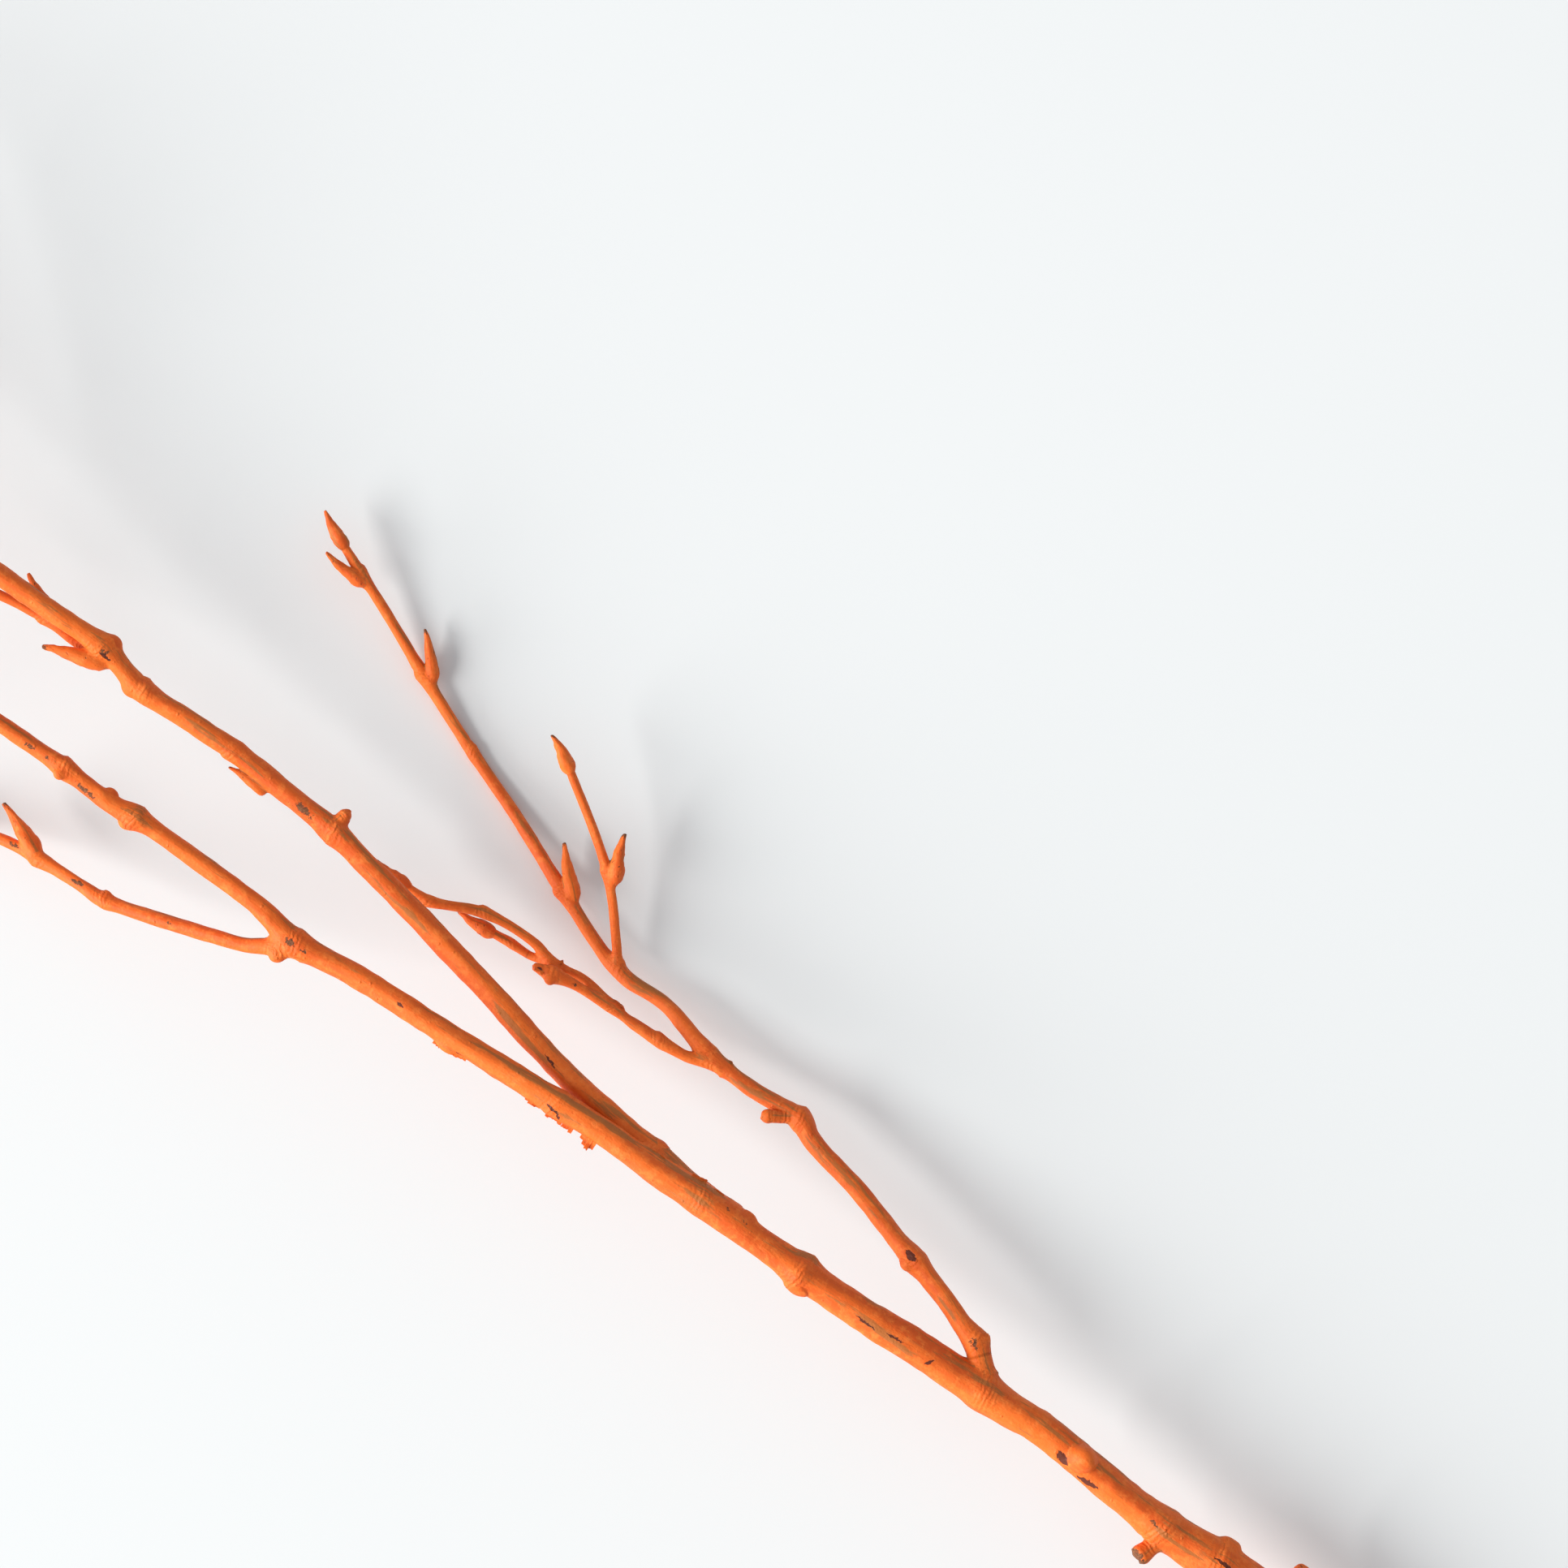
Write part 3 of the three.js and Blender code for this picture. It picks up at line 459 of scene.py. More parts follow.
# Noise on the bark: height, squeeze along the limb, size of its lumps, seed.
BARK_NOISE = ((0.1, 0.6, 3.6, 3), (0.075, 1.0, 1.5, 5), (0.065, 0.2, 0.85, 7))
SPOT_FALL = 1.4
STREAK_FALL = 1.2
SCAR_SIDE = 80
SCAR_TILT = 0.55
HOLLOW_DEPTH = 0.12
HOLLOW_PLACE = 0.95
HOLLOW_REACH = 0.45
RING_REACH = 3.2
NO_RING = 99.0
ROOT_RING_GAP = 1.3
ROOT_RING_STRENGTH = 0.8
CRACK_REACH = 1.6
CRACK_OVERRUN = 1.05
KNOB_SWELLING = 0.45
KNOB_SWELLING_LIMIT = 0.6
KNOB_SWELLING_SPREAD = 1.3
BUD_FOOT_HEIGHT = 0.3
BUD_FOOT_LENGTH = 2.2
BUD_FOOT_SPREAD = 2.2
BUD_FOOT_SHIFT = 1.5
# Stands for no crack or ring near.
FAR = 9.0


def angle_gap(angle, centre):
    return (angle - centre + np.pi) % (2 * np.pi) - np.pi


def ledge(step, before, after):
    """A ridge that climbs on the root side and drops off sharply towards the tip."""
    return np.exp(-(step / np.where(step < 0, before, after)) ** 2)


class Skin:
    """The points of a limb's bark: distance from the root, angle round the limb and radius."""

    def __init__(self, along, angle, radius):
        self.along, self.angle, self.radius = along, angle, radius

    def aside(self, degrees):
        """Distance round the limb from an angle."""
        return angle_gap(self.angle, math.radians(degrees)) * self.radius

    def spot(self, at, degrees, length, width):
        """A rounded spot on the bark: 1 in its middle and 0 outside."""
        ds = (self.along - at) / (length / 2)
        da = self.aside(degrees) / (width / 2)
        return np.exp(-SPOT_FALL * (ds * ds + da * da))

    def streak(self, at, degrees, length, width):
        """A long patch, even along its length and soft at its sides."""
        ds = (self.along - at) / (length / 2)
        da = self.aside(degrees) / (width / 2)
        return np.exp(-ds ** 4 - STREAK_FALL * da * da)

    def scars(self, limb, number):
        """For each node: its swelling, nearness to the scar's side, and distance from the scar's ledge."""
        for i, (at, swell) in enumerate(limb.nodes):
            toward = np.cos(self.angle - math.radians(-SCAR_SIDE if (i + number) % 2 else SCAR_SIDE))
            yield swell, 0.3 + 0.7 * (0.5 + 0.5 * toward), self.along - at - SCAR_TILT * toward


def ring_places(limb, skin, number, root_reach):
    """Signed distance from the nearest scar or root collar, and how strongly it is creased."""
    rings = [(step, near * min(1.0, 0.35 + 1.6 * swell)) for swell, near, step in skin.scars(limb, number)]
    if not limb.cut:
        collar_step = skin.along - (root_reach + ROOT_RING_GAP) - 0.3 * np.cos(skin.angle)
        rings.append((collar_step, ROOT_RING_STRENGTH))
    nearest = np.full_like(skin.along, NO_RING)
    strength = np.zeros_like(skin.along)
    for step, creased in rings:
        closer = np.abs(step) < np.abs(nearest)
        nearest = np.where(closer, step, nearest)
        strength = np.where(closer, creased, strength)
    strength = np.where(np.abs(nearest) < RING_REACH, strength, 0.0)
    return np.stack([nearest, strength, np.zeros_like(nearest)], axis=-1)


def bark_relief(limb, skin, straight, number, marks):
    """Everything that stands off the smooth limb."""
    fine = np.clip(skin.radius / 2.0, 0.35, 1.3)
    relief = np.zeros_like(skin.along)
    for height, squeeze, scale, seed in BARK_NOISE:
        relief += height * fine * noise(straight * np.array([1.0, 1.0, squeeze]), scale, seed)
    scars = np.zeros_like(skin.along)
    for swell, near, step in skin.scars(limb, number):
        scars += near * (0.1 + 0.36 * swell) * ledge(step, 1.0, 0.4)
        scars -= near * HOLLOW_DEPTH * np.exp(-((step - HOLLOW_PLACE) / HOLLOW_REACH) ** 2)
    relief += scars
    for at, degrees, width, height, before, after in marks["ledges"]:
        aside = skin.aside(degrees) / (width / 2)
        relief += height * ledge(skin.along - at - 0.25 * aside, before, after) * np.exp(-aside * aside)
    for at, degrees, length, width, height in marks["knobs"]:
        foot = skin.spot(at, degrees, length * KNOB_SWELLING_SPREAD, width * KNOB_SWELLING_SPREAD)
        relief += KNOB_SWELLING * min(height, KNOB_SWELLING_LIMIT) * foot
    for at, degrees, bud_radius in marks["bud_feet"]:
        foot = skin.spot(at - BUD_FOOT_SHIFT, degrees, BUD_FOOT_LENGTH, bud_radius * BUD_FOOT_SPREAD)
        relief += BUD_FOOT_HEIGHT * foot
    return relief


def crack_field(skin, cracks):
    """Where points lie by the nearest crack: share of its half length, distance aside, half width."""
    field = np.full(skin.along.shape + (3,), FAR)
    field[..., 2] = 0
    best = np.full(skin.along.shape, np.inf)
    for (s0, turn0), (s1, turn1), half_width in cracks:
        half = np.array([s1 - s0, math.radians(turn1 - turn0) * float(np.mean(skin.radius))]) / 2
        half_length = float(np.hypot(*half))
        ds = skin.along - (s0 + s1) / 2
        da = skin.aside((turn0 + turn1) / 2)
        run = (ds * half[0] + da * half[1]) / half_length
        aside = (da * half[0] - ds * half[1]) / half_length
        reach = np.hypot(np.maximum(np.abs(run) - half_length, 0), aside)
        share = run / half_length
        width = np.where((np.abs(share) < CRACK_OVERRUN) & (reach < CRACK_REACH), half_width, 0.0)
        closer = (reach < best)[..., None]
        field = np.where(closer, np.stack([share, aside, width], axis=-1), field)
        best = np.minimum(best, reach)
    return field


# Surfaces as grids of points

# Noise is read as if each piece stood straight up, this far above the last one.
LIMB_SPACING = 1000
BUD_SPACING = 40.0
SPUR_SPACING = 30.0
KNOB_SPACING = 25.0


def unrolled(span, angle, height):
    """Coordinates for noise, as if the piece stood straight up."""
    return np.stack([span * np.cos(angle), span * np.sin(angle), height], axis=-1)


def show(name, data):
    """Puts a mesh, camera or light in the scene."""
    item = bpy.data.objects.new(name, data)
    bpy.context.scene.collection.objects.link(item)
    return item


def read_all(items, key, width=1, kind=float):
    """One row of numbers for each point, edge or corner of a mesh."""
    values = np.empty(len(items) * width, dtype=kind)
    items.foreach_get(key, values)
    return values.reshape(-1, width) if width > 1 else values


def set_attribute(mesh, key, domain, rows):
    kind, slot = ("FLOAT_VECTOR", "vector") if rows.shape[1] == 3 else ("FLOAT", "value")
    mesh.attributes.new(key, kind, domain).data.foreach_set(slot, rows.ravel())


class Patchwork:
    """Closed pieces with their shading values, each one a Blender object to be joined to the stem."""

    def __init__(self):
        self.objects = []

    def add(self, name, rings, start, end, values):
        """rings: (rows, columns, 3) in millimetres in plan; values: named arrays for each ring point."""
        rows, columns = rings.shape[:2]
        points = np.vstack([[start], rings.reshape(-1, 3), [end]])
        last = len(points) - 1
        column = np.arange(columns)
        beside = (column + 1) % columns
        row = np.arange(rows - 1)[:, None] * columns + 1
        quads = row + column, row + beside, row + beside + columns, row + column + columns
        faces = [tuple(f) for f in np.stack(quads, axis=-1).reshape(-1, 4)]
        faces += [(0, 1 + b, 1 + c) for c, b in zip(column, beside)]
        faces += [(last, last - columns + c, last - columns + b) for c, b in zip(column, beside)]
        mesh = bpy.data.meshes.new(name)
        mesh.from_pydata([tuple(p) for p in to_part(points) * MM], [], faces)
        corner_points = read_all(mesh.loops, "vertex_index", kind=np.int64)
        for key, value in values.items():
            value = value.reshape(rows * columns, -1)
            spread = np.vstack([value[:columns].mean(axis=0), value, value[-columns:].mean(axis=0)])
            if key == "soft":
                set_attribute(mesh, key, "POINT", spread)
            else:
                set_attribute(mesh, key, "CORNER", spread[corner_points])
        self.objects.append(show(name, mesh))


def to_part(points):
    """Plan millimetres to the part's own frame, still in millimetres."""
    moved = points - PLAN_MIDDLE
    cos, sin = math.cos(PLAN_TURN), math.sin(PLAN_TURN)
    x, y, z = np.moveaxis(moved, -1, 0)
    return np.stack([cos * x - sin * y, sin * x + cos * y, np.maximum(z, 0)], axis=-1)


def shading_values(straight, bare, thin, crevice_shade, soft, crack=None, ring=None, cut=None):
    """The values that the paint reads: far from any crack or ring where none is given."""
    none = np.zeros_like(bare)
    far = np.stack([none + FAR, none + FAR, none], axis=-1)
    # The wear numbers hold bare bark, thin paint together with the painted shade band, and painted shade in
    # the creases of bud scales.
    return {
        "grain": straight, "wear": np.stack([np.clip(v, 0, 1) for v in (bare, thin, crevice_shade)], axis=-1),
        "crack": far if crack is None else crack, "ring": far if ring is None else ring,
        "soft": soft, "cut": none if cut is None else cut,
    }


# Limbs as surfaces

TALL_KNOB = 1.5
LOW_KNOB_SOFTNESS = 0.26
TALL_KNOB_SOFTNESS = 0.06
# Painted shade: every limb gets a band of olive, drawn as thin paint, on the side that faces away from the
# key light; this is its share.
SIDE_SHADE_SHARE = 0.44
STREAK_STRENGTH = 0.7
BUD_FOOT_SOFTNESS = 0.8
# Angle round each limb, from its top, of the middle of that painted shade band.
SHADED_SIDE = math.radians(62)
WAVE_LOBES = 3
WAVE_TWIST = 0.21
CUT_SLOPE_REACH = 6
CUT_FACE_SHARES = (0.2, 0.45, 0.68, 0.86, 0.95)
CUT_FACE_ROUGHNESS = 0.12


def knob_softness(height):
    """Low knobs flow into the bark; a tall one keeps a crease round its foot."""
    return LOW_KNOB_SOFTNESS if height < TALL_KNOB else TALL_KNOB_SOFTNESS


def limb_grid(limb, number, marks):
    step, sides = limb.grid
    rows = max(10, int(limb.length / step))
    s = np.linspace(0, limb.length, rows)
    centre, forward, right, up, radius = limb.stations(s)
    along, angle = np.meshgrid(s, 2 * np.pi * np.arange(sides) / sides, indexing="ij")
    reach = np.repeat(radius[:, None], sides, axis=1)
    skin = Skin(along, angle, reach)
    wave = 1 + SURFACE_WAVE * np.sin(WAVE_LOBES * angle + WAVE_TWIST * along + number)
    straight = unrolled(reach, angle, along + LIMB_SPACING * number)
    span = reach * wave + bark_relief(limb, skin, straight, number, marks)
    outward = around(angle, up[:, None, :], right[:, None, :])
    rings = centre[:, None, :] + span[..., None] * outward
    if limb.cut:
        slope = CUT_SLOPE * np.exp(-(along / CUT_SLOPE_REACH) ** 2)
        rings += forward[:, None, :] * (np.cos(angle) * reach * slope)[..., None]
    bare = np.zeros_like(along)
    for *patch, strength in marks["bare"]:
        bare += strength * skin.spot(*patch)
    # Painted shade: the thin-paint share starts with a band on the shaded side of the limb; the real thin
    # streaks are added to it.
    thin = SIDE_SHADE_SHARE * (0.5 + 0.5 * np.cos(angle - SHADED_SIDE))
    for *patch, strength in marks["streaks"]:
        thin += STREAK_STRENGTH * strength * skin.streak(*patch)
    soft = np.zeros_like(along)
    for at, degrees, bud_radius in marks["bud_feet"]:
        soft = np.maximum(soft, BUD_FOOT_SOFTNESS * skin.spot(at - 1, degrees, 4, bud_radius * 3))
    for at, degrees, length, width, height in marks["knobs"]:
        foot = skin.spot(at, degrees, length * 1.5, width * 1.6)
        soft = np.maximum(soft, knob_softness(height) * foot)
    return dict(
        limb=limb, rings=rings, outward=outward, straight=straight, bare=bare, thin=thin, soft=soft,
        crack=crack_field(skin, marks["cracks"]), ring=ring_places(limb, skin, number, marks["root_reach"]),
        centre=centre, radius=radius, forward=forward,
    )


# Joints between limbs: how far a joint reaches, how softly it blends, and how a child's hidden root sinks in.
JOINT_REACH = 14.0
CHILD_MARGIN = 4
PARENT_MARGIN = 8
LEAST_SOFTNESS = 0.12
SOFTNESS_SHARE = 0.3
FADE_REACH = 2.5
SOFT_REACH = 1.1
SINK_START = 0.1
SINK_REACH = 0.7
SINK_DEPTH = 0.4


def surface_gap(points, centres, radii):
    """How far points lie outside another limb's smooth surface."""
    best = np.full(points.shape[:-1], np.inf)
    for centre, radius in zip(centres[::2], radii[::2]):
        best = np.minimum(best, np.linalg.norm(points - centre, axis=-1) - radius)
    return best


def soften_joint(child, parent):
    """Swells both limbs where they meet, so that they flow into each other without a sharp crease."""
    root = child["centre"][0]
    softness = SOFTNESS_SHARE * float(child["radius"][min(8, len(child["radius"]) - 1)]) + LEAST_SOFTNESS
    for one, other in ((child, parent), (parent, child)):
        rows = np.linalg.norm(one["centre"] - root, axis=1) < JOINT_REACH + CHILD_MARGIN
        other_rows = np.linalg.norm(other["centre"] - root, axis=1) < JOINT_REACH + PARENT_MARGIN
        if not rows.any() or not other_rows.any():
            continue
        gap = surface_gap(one["rings"][rows], other["centre"][other_rows], other["radius"][other_rows])
        push = softness * np.log1p(np.exp(-np.clip(gap, 0, 20) / softness))
        fade = np.clip(1 - np.maximum(gap - FADE_REACH, 0) / FADE_REACH, 0, 1)
        if one is child:
            sunk = np.clip(SINK_START - gap, 0, SINK_REACH) / SINK_REACH
            push = push * (1 - sunk) - SINK_DEPTH * one["radius"][rows][:, None] * sunk
        one["rings"][rows] += one["outward"][rows] * (push * fade)[..., None]
        one["soft"][rows] = np.maximum(one["soft"][rows], np.exp(-(gap / SOFT_REACH) ** 2))


def add_limb(patchwork, grid):
    limb, rings = grid["limb"], grid["rings"]
    start, end = grid["centre"][0], grid["centre"][-1] + grid["forward"][-1] * grid["radius"][-1] * 0.6
    none = np.zeros_like(grid["bare"])
    values = shading_values(
        grid["straight"], grid["bare"], grid["thin"], none, grid["soft"], grid["crack"], grid["ring"], none
    )
    if limb.cut:
        straight = grid["straight"][0]
        faces = []
        for share in CUT_FACE_SHARES:
            rough = CUT_FACE_ROUGHNESS * noise(straight * share, 0.9, 17)[:, None] * grid["forward"][0]
            faces.append(start + (rings[0] - start) * share + rough)
        rings = np.concatenate([np.array(faces), rings])
        bare_end = shading_values(
            np.array([straight * share for share in CUT_FACE_SHARES]), *[none[:len(faces)]] * 4,
            cut=none[:len(faces)] + 1,
        )
        values = {key: np.concatenate([bare_end[key], values[key]]) for key in values}
    patchwork.add(limb.name, rings, start, end, values)


# Turned pieces: buds, spurs and knobs

STEEP = 0.9


def turned_grid(direction, heights, sides):
    """Height and angle of each point of a piece along a direction, two axes across it, and the way out."""
    tall, angle = np.meshgrid(heights, 2 * np.pi * np.arange(sides) / sides, indexing="ij")
    side = unit(np.cross(direction, UPWARD if abs(direction[2]) < STEEP else SIDEWAYS))
    up = np.cross(side, direction)
    return tall, angle, up, side, around(angle, up, side)


def leaning(forward, outward, degrees):
    lean = math.radians(degrees)
    return unit(forward * math.cos(lean) + outward * math.sin(lean))


# Buds: a pointed body under a few overlapping scales, each a (turn, height of its edge).
BUD_PROFILE_HEIGHTS = (-0.1, -0.04, 0.05, 0.18, 0.34, 0.52, 0.7, 0.84, 0.94, 1)
BUD_PROFILE_RADII = (0.3, 0.62, 0.86, 1, 0.98, 0.86, 0.66, 0.48, 0.38, 0.24)
SCALE_EDGES = ((0, 0.34), (2.3, 0.5), (4.4, 0.66), (1.2, 0.8))
SCALE_THICKNESS = 0.09
SCALE_SHARPNESS = 0.012
# How strongly the creases where bud scales overlap are darkened as painted shade.
CREVICE_SHADE_STRENGTH = 2.2
BUD_HOOK = 0.55
BUD_ROUGHNESS = 0.08
BUD_FOOT_SINK = 0.115
BUD_TIP_REACH = 1.012
BUD_WEAR_START = 0.78
BUD_WEAR_LOW = 0.3
BUD_WEAR_HIGH = 0.9
BUD_SOFT_REACH = 0.45


def bud_span(height, angle, radius, twist, seed_points):
    """Radius of a bud under its scales, and how many scales lie over each point."""
    span = np.interp(height, BUD_PROFILE_HEIGHTS, BUD_PROFILE_RADII) * radius
    overlap = np.zeros_like(span)
    for turn, top in SCALE_EDGES:
        gap = angle_gap(angle, turn + twist)
        edge = top - 0.075 * gap * gap
        overlap += 1 / (1 + np.exp(np.clip((height - edge) / SCALE_SHARPNESS, -40, 40)))
    span *= 1 + SCALE_THICKNESS * (overlap - 2.4)
    span += BUD_ROUGHNESS * radius * noise(seed_points, 0.9, 13)
    return span, overlap


def add_bud(patchwork, name, root, direction, length, radius, number, foot=None):
    rows, sides = BUD_GRID
    heights = np.linspace(BUD_PROFILE_HEIGHTS[0], 1, rows)
    tall, angle, up, side, outward = turned_grid(direction, heights, sides)
    straight = unrolled(radius, angle, tall * length + BUD_SPACING * number + 500)
    span, overlap = bud_span(tall, angle, radius, 2 * math.pi * draw(number * 7 + 2), straight)
    sway = 2 * math.pi * draw(number * 11 + 5)
    aside = (up * math.cos(sway) + side * math.sin(sway)) * BUD_HOOK * radius
    rings = root + direction * (tall * length)[..., None] + outward * span[..., None]
    rings = rings + aside * (np.maximum(tall, 0) ** 3)[..., None]
    # Painted shade: the creases where one scale lies over the next are darkened.
    crevice_shade = np.clip(np.abs(overlap - np.round(overlap)) * CREVICE_SHADE_STRENGTH, 0, 1)
    most_wear = BUD_WEAR_HIGH if draw(number * 3 + 1) > 0.5 else BUD_WEAR_LOW
    wear = np.clip((tall - BUD_WEAR_START) * 4, 0, 1) * most_wear
    soft = 0 * tall
    if foot is not None:
        centre, forward, limb_radius = foot
        away = rings - centre
        away = away - forward * (away @ forward)[..., None]
        soft = np.exp(-((np.linalg.norm(away, axis=-1) - limb_radius) / BUD_SOFT_REACH) ** 2)
    # An even share of thin paint, plus painted shade: more olive towards the bud's foot, where it meets the
    # limb.
    values = shading_values(straight, wear, 0.3 + 0.4 * soft, crevice_shade, soft)
    tip = root + direction * length * BUD_TIP_REACH + aside
    patchwork.add(name, rings, root - direction * length * BUD_FOOT_SINK, tip, values)


def bud_plan(limbs):
    """Every bud: (limb, distance, angle, length, radius, lean)."""
    plan = []
    for number, limb in enumerate(limbs.values()):
        start = limb.distance_of(RULED_BUDS_FROM[limb.name]) if limb.name in RULED_BUDS_FROM else 0
        for i, (at, swell) in enumerate(limb.nodes):
            if at < start or swell < LEAST_BUD_SWELL:
                continue
            side = 1 if (i + number) % 2 else -1
            degrees = side * (62 + 30 * draw(number * 13 + i))
            length = BUD_LENGTH * (0.8 + 0.3 * draw(number * 17 + i))
            radius = BUD_RADIUS * (0.82 + 0.2 * draw(number * 19 + i))
            plan.append((limb, at, degrees, length, radius, BUD_LEAN + 14 * draw(number * 23 + i)))
    for name, place, *shape in PLACED_BUDS:
        plan.append((limbs[name], limbs[name].distance_of(place), *shape))
    return plan


def add_buds(patchwork, plan, limbs):
    for number, (limb, along, degrees, length, radius, lean) in enumerate(plan):
        centre, forward, outward, limb_radius = bark_place(limb, along, degrees)
        direction = leaning(forward, outward, lean)
        root = centre + outward * (limb_radius + radius * 0.25) - direction * BUD_SINK * length
        foot = centre, forward, limb_radius
        add_bud(patchwork, f"bud_{number}", root, direction, length * (1 + BUD_SINK), radius, number, foot)
    for number, limb in enumerate(limbs.values()):
        if limb.tip_bud:
            centre, forward, _, _ = bark_place(limb, limb.length, 0)
            root = centre - forward * BUD_SINK * BUD_LENGTH
            name = f"end_bud_{number}"
            add_bud(patchwork, name, root, forward, BUD_LENGTH, BUD_RADIUS * END_BUD_SHARE, 200 + number)


# Spurs, stubs and their end knobs. A spur's profile gives shares of its reach and of its radius.
SPUR_PROFILE = ((0, 1.3), (0.2, 1.18), (0.45, 1.04), (0.7, 0.93), (0.88, 1), (0.96, 0.9), (1, 0.6))
TORN_FROM = 0.93
TORN_DEPTH = 0.35
WORN_FROM = 0.8
# Noise on a spur: height, size of its lumps, seed.
SPUR_NOISE = ((0.08, 0.9, 23), (0.12, 1.7, 29))
SPUR_SOFTNESS = 0.8
SPUR_THINNESS = 0.4
SPUR_KNOB_WEAR = 0.6


def add_round(patchwork, name, root, direction, heights, spans, number, wear, limb_radius=0.0):
    """A closed turned piece along a direction, with relief on it."""
    rows, sides = SPUR_GRID
    top = heights[-1]
    high, angle, _, _, outward = turned_grid(direction, np.linspace(heights[0], top, rows), sides)
    span = np.interp(high, heights, spans)
    straight = unrolled(span, angle, high + SPUR_SPACING * number + 700)
    ragged = TORN_DEPTH * noise(straight, 0.7, 19) * (high > top * TORN_FROM)
    relief = sum(height * noise(straight, scale, seed) for height, scale, seed in SPUR_NOISE)
    rings = root + direction * (high + ragged)[..., None] + outward * (span + relief)[..., None]
    ends = root + direction * heights[0], root + direction * (top - 0.15)
    worn = wear * np.clip((high / top - WORN_FROM) * 5, 0, 1)
    softening = ((high - limb_radius) / 0.9) if limb_radius else high / 0.6
    soft = SPUR_SOFTNESS * np.exp(-softening ** 2)
    ring = np.stack([high - limb_radius - 0.9, ROOT_RING_STRENGTH + 0 * high, 0 * high], axis=-1)
    values = shading_values(straight, worn, SPUR_THINNESS + 0 * high, 0 * high, soft, ring=ring)
    patchwork.add(name, rings, *ends, values)


def add_spurs(patchwork, limbs):
    for number, (name, place, degrees, length, radius, lean, knob) in enumerate(SPURS):
        limb = limbs[name]
        centre, forward, outward, limb_radius = bark_place(limb, limb.distance_of(place), degrees)
        direction = leaning(forward, outward, lean)
        reach = length + limb_radius
        heights = [height * reach for height, _ in SPUR_PROFILE]
        spans = [share * radius for _, share in SPUR_PROFILE]
        wear = 0.0 if knob else 1.0
        add_round(patchwork, f"spur_{number}", centre, direction, heights, spans, number, wear, limb_radius)
        if knob:
            end = centre + direction * (reach - knob)
            ball = np.linspace(0.02, 0.98, 12) * math.pi
            heights, spans = list(knob * (1 - np.cos(ball))), list(knob * np.sin(ball))
            title = f"spur_knob_{number}"
            add_round(patchwork, title, end, direction, heights, spans, 60 + number, SPUR_KNOB_WEAR)


KNOB_ENDS = (0.08, 0.92)
KNOB_ROUGHNESS = 0.07
KNOB_SOFT_REACH = 0.4
KNOB_THINNESS = 0.2


def add_knob(patchwork, number, limb, place, degrees, length, width, height):
    """A rounded lump on the bark, half sunk in it."""
    rows, sides = KNOB_GRID
    centre, forward, outward, radius = bark_place(limb, limb.distance_of(place), degrees)
    heart = centre + outward * (radius - height)
    turns = np.linspace(*KNOB_ENDS, rows) * math.pi
    tall, angle = np.meshgrid(turns, 2 * np.pi * np.arange(sides) / sides, indexing="ij")
    ball = unrolled(np.sin(tall), angle, -np.cos(tall))
    size = np.array([width / 2, height * 2, length / 2])
    straight = ball * size + np.array([0, 0, KNOB_SPACING * number + 1500])
    local = ball * size * (1 + KNOB_ROUGHNESS * noise(straight, 1.3, 37))[..., None]
    rings = heart + local @ np.stack([np.cross(outward, forward), outward, forward])
    ends = heart - forward * length / 2, heart + forward * length / 2
    soft = knob_softness(height) * np.exp(-((local[..., 1] - height * 0.9) / KNOB_SOFT_REACH) ** 2)
    values = shading_values(straight, 0 * soft, KNOB_THINNESS + 0 * soft, 0 * soft, soft)
    patchwork.add(f"knob_{number}", rings, *ends, values)


# One body of all the pieces

SOFTENING_ROUNDS = 26


def limb_marks(limbs, plan):
    """What lies on each limb's bark, by distance from its root and degrees round it."""
    kinds = ("knobs", "bare", "streaks", "cracks", "ledges", "bud_feet")
    marks = {name: dict({kind: [] for kind in kinds}, root_reach=0.0) for name in limbs}
    for limb, place, *shape in rows_of(KNOBS, limbs):
        marks[limb.name]["knobs"].append((limb.distance_of(place), *shape))
    for kind, table in (("bare", BARE_PATCHES), ("streaks", STREAKS), ("ledges", LEDGES)):
        for limb, place, *shape in rows_of(table, limbs):
            marks[limb.name][kind].append((*on_bark(limb, place), *shape))
    for limb, start, end, half_width in rows_of(CRACKS, limbs):
        marks[limb.name]["cracks"].append((on_bark(limb, start), on_bark(limb, end), half_width))
    for limb, along, degrees, _, radius, _ in plan:
        marks[limb.name]["bud_feet"].append((along, degrees, radius))
    for name, limb in limbs.items():
        if limb.parent:
            parent = limbs[limb.parent]
            marks[name]["root_reach"] = float(parent.station(parent.distance_of(limb.points[0]))[4])
    return marks


def join_pieces(patchwork, name):
    """One closed body of all the pieces: the first takes the rest in a single union."""
    body, *others = patchwork.objects
    group = bpy.data.collections.new("to_join")
    bpy.context.scene.collection.children.link(group)
    for other in others:
        bpy.context.scene.collection.objects.unlink(other)
        group.objects.link(other)
    union = body.modifiers.new("union", "BOOLEAN")
    union.operation = "UNION"
    union.solver = "MANIFOLD"
    union.operand_type = "COLLECTION"
    union.collection = group
    bpy.context.view_layer.update()
    joined = bpy.data.meshes.new_from_object(body.evaluated_get(bpy.context.evaluated_depsgraph_get()))
    for other in others + [body]:
        mesh = other.data
        bpy.data.objects.remove(other)
        bpy.data.meshes.remove(mesh)
    bpy.data.collections.remove(group)
    joined.name = name
    return show(name, joined)


